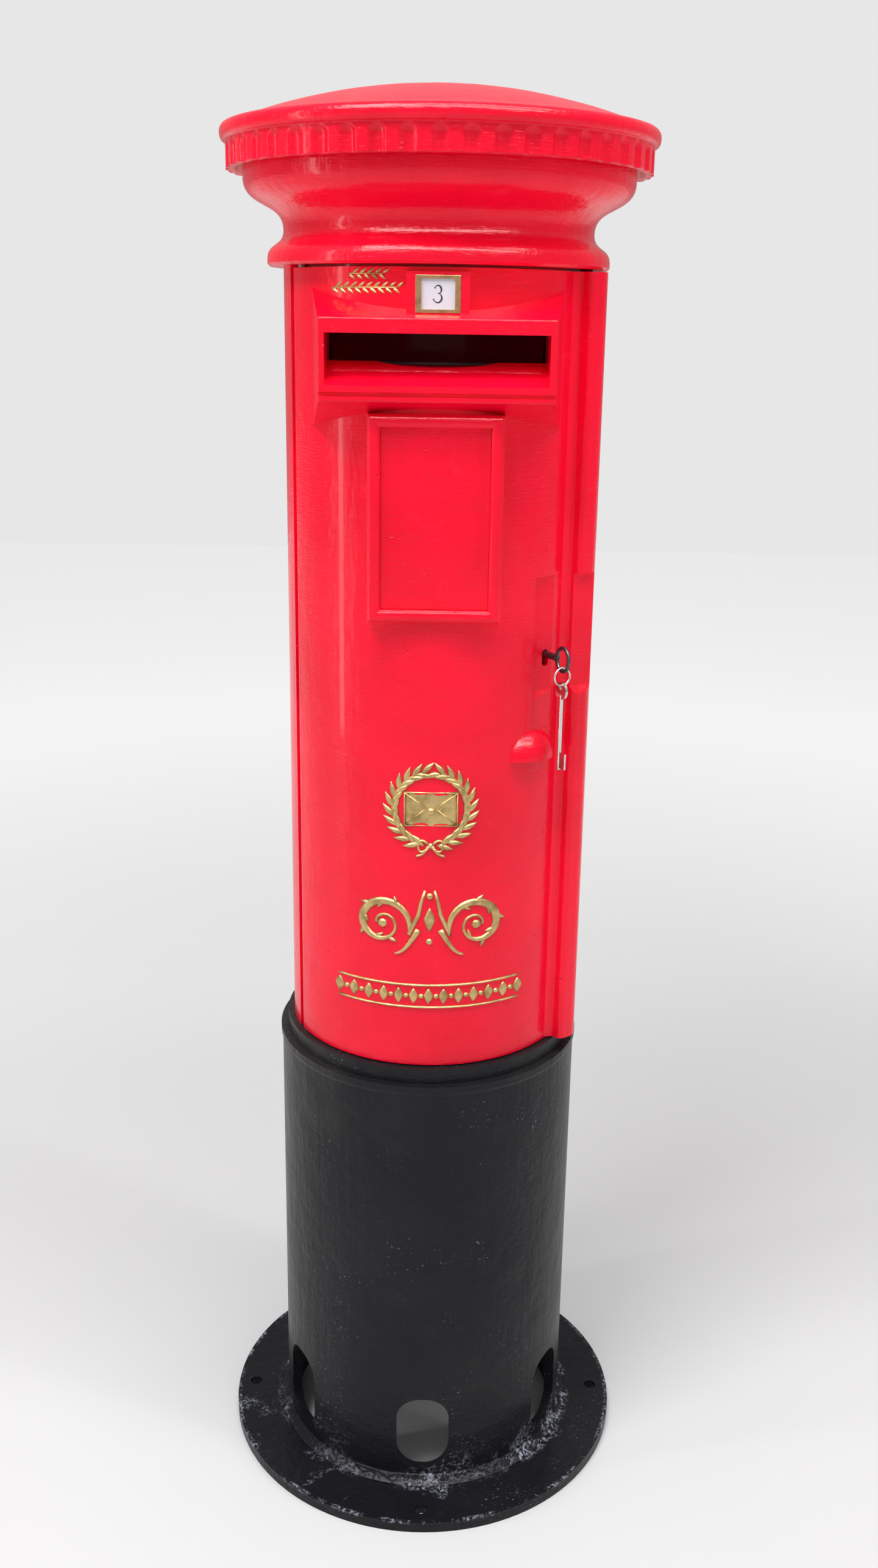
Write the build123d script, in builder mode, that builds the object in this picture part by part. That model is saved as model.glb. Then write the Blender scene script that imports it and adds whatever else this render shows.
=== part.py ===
"""Cast-iron street pillar post box: root plinth, carcase, cornice and cap, with a hinged
front door, lever lock, keys, letter chute and lift-out letter guard.

Millimetres. +Z is up, the front faces -Y, and the origin is the centre of the root
flange's underside. Bearings round the box are degrees from the front, positive to +X.
"""

import os
from math import asin, cos, degrees, radians, sin, sqrt

from build123d import *

# ---------------------------------------------------------------- driving dimensions
# Shell and levels
body_radius = 190.5
wall = 12.0
plinth_top = 667.0
carcase_height = 995.0
ring_depth = 14.0
ring_bore = body_radius - wall - 28.5
panel_gap = 2.0

# Root plinth
plinth_radius = body_radius + 17.0
plinth_wall = 14.0
collar_ring_radius = body_radius + 8.5
collar_ring_depth = 21.0
shoulder_swell = 2.0
flange_radius = plinth_radius + 78.5
flange_thickness = 16.0
root_fillet = 13.0
window_width = 74.0
window_height = 118.0
window_level = 96.0
window_count = 6
window_corner = 34.0
anchor_circle = plinth_radius + 52.5
anchor_hole = 9.0
anchor_count = 4

# Cornice and cap
collar_radius = body_radius + 19.5
neck_radius = body_radius - 0.5
neck_rise = 42.0
cyma_radius = body_radius + 47.5
cornice_height = 120.0
cornice_wall = 12.0
skirt_radius = body_radius + 67.5
skirt_drop = 31.0
skirt_overlap = 11.0
skirt_wall = 11.0
rim_radius = body_radius + 74.5
rim_height = 19.0
dome_radius = body_radius + 59.5
dome_rise = 46.0
dome_wall = 10.0
flute_count = 48
flute_width = 17.0
flute_depth = 4.2

# Structural bolts
bolt_radius = 8.0
bolt_hole = 8.5
bolt_circle = body_radius - wall - 16.5
bolt_count = 4
bolt_turn = 45.0
cap_bolt_radius = 6.0
cap_bolt_circle = body_radius + 23.5
cap_bolt_depth = 22.0
cap_grip = 20.0
cap_boss = 15.0
nut_radius = 12.0
nut_height = 9.0

# Door: hinge side, lock side and lip
hinge_bearing = -63.5
hinge_depth = 11.0
pintle_radius = 6.0
pintle_length = 46.0
bush_wall = 1.5
bush_length = 30.0
running_gap = 0.05
hinge_gap = 13.6
door_edge_bearing = 87.5
pilaster_bearing = 57.5
pilaster_side = body_radius + 12.0
pilaster_round = 18.0
pilaster_cove = (35.0, 101.5)
pilaster_hollow = (22.0, 111.0)
pilaster_nose = (3.5, 98.0)
pilaster_flank = 70.0
pilaster_back = 20.0
pilaster_end = 8.0
pilaster_root = 8.0
pilaster_foot = 2.0
cove_round = 8.0
lip_reach = 20.0
lip_gap = 0.8
jamb_gap = 2.0
jamb_wall = 12.5
jamb_rib = 7.0
jamb_web = 5.0
jamb_lap = 8.0
stop_inner = body_radius - wall - 20.5
stop_outer = body_radius - wall - 14.0
stop_reach = 7.0
hinge_clear = 1.5
pintle_reach = 33.0

# Posting aperture
hood_front = body_radius + 23.5
hood_half_front = 134.0
hood_half_back = 147.0
hood_top = 1604.0
hood_bottom = 1513.0
hood_slope = 0.355
slot_half_width = 127.0
slot_bottom = 1530.0
slot_top = 1587.5
drip_level = 1521.0
drip_height = 5.0
drip_depth = 3.5
hood_round = 2.5

# Notice frame
notice_half_width = 79.5
notice_low = 1257.5
notice_high = 1499.0
notice_bar = 15.5
notice_rise = 7.5
notice_round = 3.2
notice_plate_rise = 1.6
notice_plate_gap = 0.4

# Collection tab
tab_block_half = 35.5
tab_block_low = 1603.0
tab_block_high = 1654.0
tab_block_front = body_radius + 9.5
tab_half_width = 25.5
tab_low = 1609.5
tab_high = 1650.5
tab_border = 5.0
tab_lip = 1.5
tab_gap = 0.3
tab_plate_thickness = 1.5
tab_carrier_thickness = 3.0

# Finger pull
pull_bearing = 42.0
pull_level = 1077.0
pull_half_width = 37.0
pull_rise = 18.0
pull_wall = 5.0

# Lock recess, pad and keyhole, in the lock's own axes
lock_bearing = 30.0
recess_floor = body_radius - 12.5
recess_left = 40.4
recess_right = 140.0
recess_low = 1162.0
recess_high = 1305.0
recess_sill = 11.0
recess_depth = 9.5
pad_face = body_radius - wall - 18.5
pad_left = 20.0
pad_right = 79.0
pad_low = 1150.0
pad_high = 1285.0
key_across = 58.3
key_level = 1207.0
keyhole_width = 9.0
keyhole_height = 21.0
keyhole_drop = 5.0

# Lever lock
case_left = 22.0
case_right = 76.0
case_low = 1160.0
case_high = 1272.0
case_depth = 26.0
case_wall = 3.0
cover_thickness = 2.5
lock_bolt_low = 1216.0
lock_bolt_height = 20.0
lock_bolt_thickness = 7.0
lock_bolt_lift = 3.0
lock_bolt_tail = 30.0
lock_bolt_proud = 1.0
lock_throw = 12.0
lock_gap = 0.2
talon_left = 16.0
talon_right = 4.0
talon_depth = 6.5
lever_gate_slack = 0.4
lever_gate_back = 2.2
lever_gate_drop = 3.4
stump_radius = 2.0
stump_across = 48.0
stump_level = 1229.0
lever_count = 5
lever_thickness = 1.6
lever_spacing = 1.8
lever_left = 28.0
lever_right = 69.0
lever_low = 1221.0
lever_high = 1252.0
lever_pivot_across = 32.0
lever_pivot_level = 1245.0
lever_pivot_radius = 2.5
screw_radius = 2.5
screw_head = 4.5
screw_head_depth = 2.5
screw_grip = 12.0
screw_post = 5.0

# Keys and ring
shank_radius = 4.2
shank_inner_radius = 3.0
bit_reach = 13.0
bit_thickness = 2.5
bit_length = 14.0
bow_near = 24.0
bow_length = 30.0
bow_height = 34.0
bow_rim = 5.0
bow_thickness = 4.0
ring_inner = 9.9
ring_wire = 2.6
ring_rest = 0.6
spare_bow_radius = 11.0
spare_bow_thickness = 3.4
spare_eye = 3.3
spare_length = 112.0
spare_shank = 2.4
spare_bit_height = 20.0
spare_bit_reach = 13.0
link_gap = 0.3

# Strike plate
strike_thickness = 3.0
strike_height = 70.0
strike_gap = 3.5
strike_width = 13.0
strike_screw_radius = 2.0
strike_screw_reach = 27.0
strike_screw_length = 6.0

# Letter chute
sill_back = body_radius - 25.5
sill_rise = 26.0
chute_back = 75.0
chute_drop = 22.0
chute_sheet = 2.5
chute_roof_back = 112.0
chute_ear = 14.0
chute_ear_plane = body_radius - wall - 70.5
chute_screw_length = 22.0

# Lift-out letter guard
guard_half_width = 132.0
guard_plane = 60.0
guard_low = 700.0
guard_high = 1500.0
guard_bar = 14.0
guard_bar_thickness = 6.0
guard_rod = 3.0
guard_rod_count = 9
guard_lug = 9.0
guard_lug_height = 20.0
hook_levels = (760.0, 1400.0)
hook_wall = 5.0
hook_gap = 0.3
floor_radius = body_radius - wall - 23.5
floor_thickness = 3.0

# Gilded ornaments
relief = 3.5
crest_level = 1022.0
crest_width = 120.0
scroll_level = 872.0
scroll_reach = 92.0
band_level = 768.0
band_half_width = 124.0
band_height = 36.0
sprig_middle = 80.0
sprig_level = 1643.0
sprig_length = 84.0
sprig_height = 13.0

# ---------------------------------------------------------------- derived places
inner_radius = body_radius - wall
carcase_top = plinth_top + carcase_height
door_bottom = plinth_top + panel_gap
door_top = carcase_top - panel_gap - 1.0
hinge_radius = body_radius - hinge_depth
jamb_outer = inner_radius - jamb_gap
jamb_inner = jamb_outer - jamb_wall
carcase_left = hinge_bearing - degrees(asin(hinge_gap / body_radius))
carcase_right = door_edge_bearing + 1.0
case_back = pad_face - case_depth
lock_bolt_front = pad_face - case_wall - lock_bolt_lift
lock_bolt_back = lock_bolt_front - lock_bolt_thickness
bit_back = case_back + 5.0
ring_face = recess_floor + bow_near + bow_length / 2
bow_hole_low = key_level - bow_height / 2 + bow_rim
ring_centre = bow_hole_low + ring_rest - ring_inner
spare_eye_level = ring_centre - ring_inner + link_gap - spare_eye
spare_bow_level = spare_eye_level - (spare_bow_radius - spare_eye - 3.2)


def polar(radius, bearing):
    """The plan point at a radius and a bearing from the front."""
    return (radius * sin(radians(bearing)), -radius * cos(radians(bearing)))


def bearing_plane(bearing, stand=0.0):
    """An upright plane that faces outwards at a bearing: x runs round the box, y is up."""
    out = Vector(*polar(1.0, bearing), 0.0)
    return Plane(origin=out * stand, x_dir=Vector(-out.Y, out.X, 0.0), z_dir=out)


def sector(inner, outer, start, end, mode=Mode.ADD):
    """A ring sector between two bearings, in the sketch that is open."""
    with BuildLine() as outline:
        CenterArc((0, 0), outer, start - 90, end - start)
        Line(polar(outer, end), polar(inner, end))
        CenterArc((0, 0), inner, start - 90, end - start)
        Line(polar(inner, start), polar(outer, start))
    make_face(outline.edges(), mode=mode)


def save(piece, name):
    """Labels a finished piece and writes it under that name."""
    piece.label = name
    export_step(piece, f"parts/{name}.step")


hinge_point = polar(hinge_radius, hinge_bearing)
lock_plane = bearing_plane(lock_bearing)
key_plane = Plane(
    origin=lock_plane.x_dir * key_across,
    x_dir=lock_plane.z_dir,
    z_dir=-lock_plane.x_dir,
)

os.makedirs("parts", exist_ok=True)

# ================================================================ root plinth
with BuildPart() as plinth:
    with BuildSketch(Plane.XZ):
        with BuildLine():
            Polyline(
                (ring_bore, plinth_top),
                (ring_bore, plinth_top - ring_depth),
                (plinth_radius - plinth_wall, plinth_top - ring_depth),
                (plinth_radius - plinth_wall, 0),
                (flange_radius, 0),
                (flange_radius, flange_thickness),
                (plinth_radius, flange_thickness),
                (plinth_radius, plinth_top - collar_ring_depth - 14),
                (plinth_radius + shoulder_swell, plinth_top - collar_ring_depth - 9),
                (plinth_radius + shoulder_swell, plinth_top - collar_ring_depth),
                (collar_ring_radius, plinth_top - collar_ring_depth),
                (collar_ring_radius, plinth_top),
                close=True,
            )
        outline = make_face()
        corners = outline.vertices()
        root = corners.sort_by_distance((plinth_radius, flange_thickness))[0]
        shoulder = corners.sort_by_distance(
            (plinth_radius + shoulder_swell, plinth_top - collar_ring_depth)
        )[0]
        inset = corners.sort_by_distance((collar_ring_radius, plinth_top - collar_ring_depth))[0]
        top = corners.sort_by_distance((collar_ring_radius, plinth_top))[0]
        rim = corners.sort_by_distance((flange_radius, flange_thickness))[0]
        fillet(root, root_fillet)
        fillet(shoulder, 6.0)
        fillet(inset, 2.5)
        fillet(top, 5.0)
        fillet(rim, 4.0)
    revolve(axis=Axis.Z)
    for turn in range(window_count):
        with BuildSketch(bearing_plane(turn * 360 / window_count, ring_bore)):
            with Locations((0, window_level)):
                RectangleRounded(window_width, window_height, window_corner)
        extrude(amount=flange_radius - ring_bore - 40, mode=Mode.SUBTRACT)
    with BuildSketch():
        with PolarLocations(anchor_circle, anchor_count):
            Circle(anchor_hole)
    extrude(amount=flange_thickness, mode=Mode.SUBTRACT)
    with BuildSketch(Plane.XY.offset(plinth_top - ring_depth)):
        with PolarLocations(bolt_circle, bolt_count, start_angle=bolt_turn):
            Circle(bolt_hole)
        with Locations(hinge_point):
            Circle(pintle_radius)
    extrude(amount=ring_depth, mode=Mode.SUBTRACT)
save(plinth.part, "plinth")

# ================================================================ carcase
# An open-fronted shell with a ring top and bottom, a lock jamb and a hinge stop.
strike_seat = case_right + strike_gap + strike_thickness
lock_bolt_middle = lock_bolt_low + lock_bolt_height / 2
strike_middle = (lock_bolt_front + lock_bolt_back) / 2
strike_screw_places = [
    (strike_middle, lock_bolt_middle - strike_screw_reach),
    (strike_middle, lock_bolt_middle + strike_screw_reach),
]
with BuildPart() as carcase:
    with BuildSketch(Plane.XY.offset(plinth_top)):
        sector(jamb_outer - jamb_web, jamb_outer, pilaster_bearing, carcase_right + jamb_lap)
        sector(jamb_inner, jamb_outer, pilaster_bearing, pilaster_bearing + jamb_rib)
        sector(jamb_outer - 1, inner_radius + 1, carcase_right, carcase_right + jamb_lap)
        sector(stop_inner, stop_outer, carcase_left - jamb_lap, hinge_bearing + stop_reach)
        sector(stop_inner, inner_radius + 1, carcase_left - jamb_lap, carcase_left - 1)
        sector(inner_radius, body_radius, carcase_right, 360 + carcase_left)
    extrude(amount=carcase_height)
    with BuildSketch(lock_plane):
        with Locations((0, plinth_top + carcase_height / 2)):
            Rectangle(2 * strike_seat, carcase_height)
    extrude(amount=body_radius, mode=Mode.SUBTRACT)
    for level in (plinth_top, carcase_top - ring_depth):
        with BuildSketch(Plane.XY.offset(level)):
            Circle(jamb_outer)
            sector(jamb_outer - 1, inner_radius + 1, carcase_right, 360 + carcase_left)
            Circle(ring_bore, mode=Mode.SUBTRACT)
            with PolarLocations(bolt_circle, bolt_count, start_angle=bolt_turn):
                Circle(bolt_hole, mode=Mode.SUBTRACT)
            with Locations(hinge_point):
                Circle(hinge_depth + hinge_clear, mode=Mode.SUBTRACT)
        extrude(amount=ring_depth)
    with BuildSketch(lock_plane.offset(lock_bolt_back - lock_gap)):
        with Locations((strike_seat, lock_bolt_low + lock_bolt_height / 2)):
            Rectangle(2 * (lock_throw + 1), lock_bolt_height + 2 * lock_gap + 1)
    extrude(amount=jamb_wall + lock_bolt_thickness, mode=Mode.SUBTRACT)
    with BuildSketch(key_plane.offset(key_across - strike_seat)):
        with Locations(*strike_screw_places):
            Circle(strike_screw_radius)
    extrude(amount=-strike_screw_length, mode=Mode.SUBTRACT)
save(carcase.part, "carcase")

# ================================================================ cornice
cornice_top = carcase_top + cornice_height
with BuildPart() as cornice:
    with BuildSketch(Plane.XZ):
        with BuildLine():
            Polyline(
                (neck_radius - cornice_wall, carcase_top + ring_depth),
                (ring_bore, carcase_top + ring_depth),
                (ring_bore, carcase_top),
                (collar_radius - 3, carcase_top),
                (collar_radius, carcase_top + 3),
                (collar_radius, carcase_top + 8),
            )
            Bezier(
                (collar_radius, carcase_top + 8),
                (collar_radius, carcase_top + 28),
                (neck_radius, carcase_top + neck_rise - 20),
                (neck_radius, carcase_top + neck_rise),
            )
            Bezier(
                (neck_radius, carcase_top + neck_rise),
                (neck_radius, carcase_top + 76),
                (cyma_radius, carcase_top + 66),
                (cyma_radius, carcase_top + 100),
            )
            Polyline(
                (cyma_radius, carcase_top + 100),
                (cyma_radius, cornice_top),
                (neck_radius - cornice_wall, cornice_top),
                (neck_radius - cornice_wall, carcase_top + ring_depth),
            )
        make_face()
    revolve(axis=Axis.Z)
    with BuildSketch(Plane.XY.offset(carcase_top)):
        with PolarLocations(bolt_circle, bolt_count, start_angle=bolt_turn):
            Circle(bolt_hole)
        with Locations(hinge_point):
            Circle(pintle_radius)
    extrude(amount=ring_depth, mode=Mode.SUBTRACT)
    with BuildSketch(Plane.XY.offset(cornice_top - cap_grip)):
        with PolarLocations(cap_bolt_circle, bolt_count):
            Circle(cap_bolt_radius)
    extrude(amount=cap_grip, mode=Mode.SUBTRACT)
save(cornice.part, "cornice")

# ================================================================ cap
skirt_low = cornice_top - skirt_overlap
rim_low = skirt_low + skirt_drop
rim_top = rim_low + rim_height
skirt_bore = skirt_radius - skirt_wall


def dome_level(edge, rise, across):
    """How far a spherical dome of that edge radius and rise stands up at a radius."""
    sphere = (edge**2 + rise**2) / (2 * rise)
    return sqrt(sphere**2 - across**2) - (sphere - rise)


with BuildPart() as cap:
    with BuildSketch(Plane.XZ):
        with BuildLine():
            Line((0, rim_top + dome_rise - dome_wall), (0, rim_top + dome_rise))
            ThreePointArc(
                (0, rim_top + dome_rise),
                (dome_radius / 2, rim_top + dome_level(dome_radius, dome_rise, dome_radius / 2)),
                (dome_radius, rim_top),
            )
            ThreePointArc(
                (dome_radius, rim_top),
                (rim_radius, (rim_low + rim_top) / 2),
                (skirt_radius, rim_low),
            )
            Polyline(
                (skirt_radius, rim_low),
                (skirt_radius, skirt_low),
                (skirt_bore, skirt_low),
                (skirt_bore, rim_top - dome_wall),
            )
            ThreePointArc(
                (skirt_bore, rim_top - dome_wall),
                (skirt_bore / 2, rim_top - dome_wall + dome_level(skirt_bore, dome_rise, skirt_bore / 2)),
                (0, rim_top + dome_rise - dome_wall),
            )
        make_face()
    revolve(axis=Axis.Z)
    with BuildSketch(Plane.XY.offset(cornice_top)):
        with PolarLocations(cap_bolt_circle, bolt_count):
            Circle(cap_boss)
    extrude(amount=rim_top - cornice_top + dome_wall / 2)
    with BuildSketch(Plane.XY.offset(cornice_top)):
        with PolarLocations(cap_bolt_circle, bolt_count):
            Circle(cap_bolt_radius)
    extrude(amount=cap_bolt_depth, mode=Mode.SUBTRACT)
    flute_round = (flute_depth**2 + flute_width**2 / 4) / (2 * flute_depth)
    flute_circle = skirt_radius - flute_depth + flute_round
    with BuildSketch(Plane.XY.offset(skirt_low)):
        with PolarLocations(flute_circle, flute_count, start_angle=90):
            Circle(flute_round)
    extrude(amount=skirt_drop - 3, mode=Mode.SUBTRACT)
save(cap.part, "cap")

with BuildPart() as cap_studs:
    with BuildSketch(Plane.XY.offset(cornice_top - cap_grip)):
        with PolarLocations(cap_bolt_circle, bolt_count):
            Circle(cap_bolt_radius)
    extrude(amount=cap_grip + cap_bolt_depth - 1)
save(cap_studs.part, "cap_studs")

# ================================================================ floor plate
with BuildPart() as floor_plate:
    with BuildSketch(Plane.XY.offset(plinth_top + ring_depth)):
        Circle(floor_radius)
        with PolarLocations(bolt_circle, bolt_count, start_angle=bolt_turn):
            Circle(nut_radius + 2, mode=Mode.SUBTRACT)
    extrude(amount=floor_thickness)
save(floor_plate.part, "floor_plate")

# ================================================================ flange bolts and nuts
joint_span = 2 * ring_depth
with BuildPart() as base_bolts:
    with BuildSketch(Plane.XY.offset(plinth_top - ring_depth - nut_height - 2)):
        with PolarLocations(bolt_circle, bolt_count, start_angle=bolt_turn):
            Circle(bolt_radius)
    extrude(amount=joint_span + nut_height + 2)
    with BuildSketch(Plane.XY.offset(plinth_top + ring_depth)):
        with PolarLocations(bolt_circle, bolt_count, start_angle=bolt_turn):
            RegularPolygon(nut_radius, 6)
    extrude(amount=nut_height)
save(base_bolts.part, "base_bolts")

with BuildPart() as base_nuts:
    with BuildSketch(Plane.XY.offset(plinth_top - ring_depth - nut_height)):
        with PolarLocations(bolt_circle, bolt_count, start_angle=bolt_turn):
            RegularPolygon(nut_radius, 6)
            Circle(bolt_radius, mode=Mode.SUBTRACT)
    extrude(amount=nut_height)
save(base_nuts.part, "base_nuts")

with BuildPart() as crown_bolts:
    with BuildSketch(Plane.XY.offset(carcase_top - ring_depth)):
        with PolarLocations(bolt_circle, bolt_count, start_angle=bolt_turn):
            Circle(bolt_radius)
    extrude(amount=joint_span + nut_height + 2)
    with BuildSketch(Plane.XY.offset(carcase_top - ring_depth - nut_height)):
        with PolarLocations(bolt_circle, bolt_count, start_angle=bolt_turn):
            RegularPolygon(nut_radius, 6)
    extrude(amount=nut_height)
save(crown_bolts.part, "crown_bolts")

with BuildPart() as crown_nuts:
    with BuildSketch(Plane.XY.offset(carcase_top + ring_depth)):
        with PolarLocations(bolt_circle, bolt_count, start_angle=bolt_turn):
            RegularPolygon(nut_radius, 6)
            Circle(bolt_radius, mode=Mode.SUBTRACT)
    extrude(amount=nut_height)
save(crown_nuts.part, "crown_nuts")

# ================================================================ hinge
# Two pintles stand in the plinth and the cornice; the door turns on bronze bushes.
with BuildPart() as hinge_pintles:
    with BuildSketch(Plane.XY.offset(plinth_top - ring_depth)):
        with Locations(hinge_point):
            Circle(pintle_radius)
    extrude(amount=pintle_length)
    with BuildSketch(Plane.XY.offset(carcase_top + ring_depth - pintle_length)):
        with Locations(hinge_point):
            Circle(pintle_radius)
    extrude(amount=pintle_length)
save(hinge_pintles.part, "hinge_pintles")

bush_radius = pintle_radius + running_gap + bush_wall
with BuildPart() as hinge_bushes:
    for level in (door_bottom, door_top - bush_length):
        with BuildSketch(Plane.XY.offset(level)):
            with Locations(hinge_point):
                Circle(bush_radius)
                Circle(pintle_radius + running_gap, mode=Mode.SUBTRACT)
        extrude(amount=bush_length)
save(hinge_bushes.part, "hinge_bushes")

with BuildPart() as hinge_washer:
    with BuildSketch(Plane.XY.offset(plinth_top)):
        with Locations(hinge_point):
            Circle(hinge_depth)
            Circle(pintle_radius + running_gap, mode=Mode.SUBTRACT)
    extrude(amount=panel_gap - running_gap)
save(hinge_washer.part, "hinge_washer")

# ================================================================ posting hood
hood_side = sqrt(body_radius**2 - hood_half_back**2)
hood_root = 110.0
with BuildPart() as hood:
    with BuildSketch(Plane.XY.offset(hood_bottom - 60)):
        with BuildLine():
            Polyline(
                (-hood_half_front, -hood_front),
                (hood_half_front, -hood_front),
                (hood_half_back, -hood_side),
                (hood_half_back, -hood_root),
                (-hood_half_back, -hood_root),
                (-hood_half_back, -hood_side),
                close=True,
            )
        make_face()
    extrude(amount=220)
    with BuildSketch(Plane.YZ):
        with BuildLine():
            Polyline(
                (-hood_front, hood_bottom),
                (-hood_front, hood_top),
                (-hood_root, hood_top + hood_slope * (hood_front - hood_root)),
                (-hood_root, hood_bottom - hood_slope * (hood_front - hood_root)),
                close=True,
            )
        make_face()
    extrude(amount=hood_half_back + 5, both=True, mode=Mode.INTERSECT)
    front_edges = hood.faces().sort_by(Axis.Y)[0].edges()
    fillet(front_edges, hood_round)
    with BuildSketch(Plane.XY.offset(drip_level - drip_height / 2)):
        with Locations((0, -hood_front - hood_side / 2 + drip_depth)):
            Rectangle(2 * hood_half_back, hood_side, mode=Mode.ADD)
    extrude(amount=drip_height, mode=Mode.SUBTRACT)
    with BuildSketch(Plane.XY.offset(hood_bottom - 60)):
        Circle(inner_radius + 1)
    extrude(amount=220, mode=Mode.SUBTRACT)

# ================================================================ lock pad and finger pull
with BuildPart() as lock_pad:
    with BuildSketch(lock_plane.offset(pad_face)):
        with Locations(((pad_left + pad_right) / 2, (pad_low + pad_high) / 2)):
            Rectangle(pad_right - pad_left, pad_high - pad_low)
    extrude(amount=recess_floor - pad_face + 1)
    with BuildSketch(Plane.XY.offset(pad_low)):
        Circle(inner_radius + wall / 2)
    extrude(amount=pad_high - pad_low, mode=Mode.INTERSECT)

pull_root = body_radius - wall / 2
pull_depth = body_radius + pull_rise - pull_root
pull_plane = bearing_plane(pull_bearing)
pull_top_plane = Plane(
    origin=(0, 0, pull_level), x_dir=pull_plane.x_dir, z_dir=-Vector(0, 0, 1)
)
pull_axis = Axis((0, 0, pull_level), pull_plane.z_dir)
pull_forms = []
for inset in (0.0, pull_wall):
    with BuildPart() as pull_form:
        with BuildSketch(pull_top_plane):
            with BuildLine():
                Line((0, pull_root), (pull_half_width - inset, pull_root))
                EllipticalCenterArc(
                    (0, pull_root), pull_half_width - inset, pull_depth - inset, arc_size=90
                )
                Line((0, pull_root + pull_depth - inset), (0, pull_root))
            make_face()
        revolve(axis=pull_axis, revolution_arc=180)
    pull_forms.append(pull_form.part)

# ================================================================ notice frame
# A round-edged moulding that stands proud of a flat panel.
notice_flat = body_radius
notice_inner = notice_half_width - notice_bar
with BuildPart() as notice_frame:
    with BuildSketch(Plane.XZ.offset(inner_radius - wall)):
        with Locations((0, (notice_low + notice_high) / 2)):
            Rectangle(2 * notice_half_width, notice_high - notice_low)
    extrude(amount=notice_flat + notice_rise - inner_radius + wall)
    with BuildSketch(Plane.XZ.offset(notice_flat)):
        with Locations((0, (notice_low + notice_high) / 2)):
            Rectangle(2 * notice_inner, notice_high - notice_low - 2 * notice_bar)
    extrude(amount=notice_rise, mode=Mode.SUBTRACT)
    fillet(notice_frame.faces().sort_by(Axis.Y)[0].edges(), notice_round)

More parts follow.
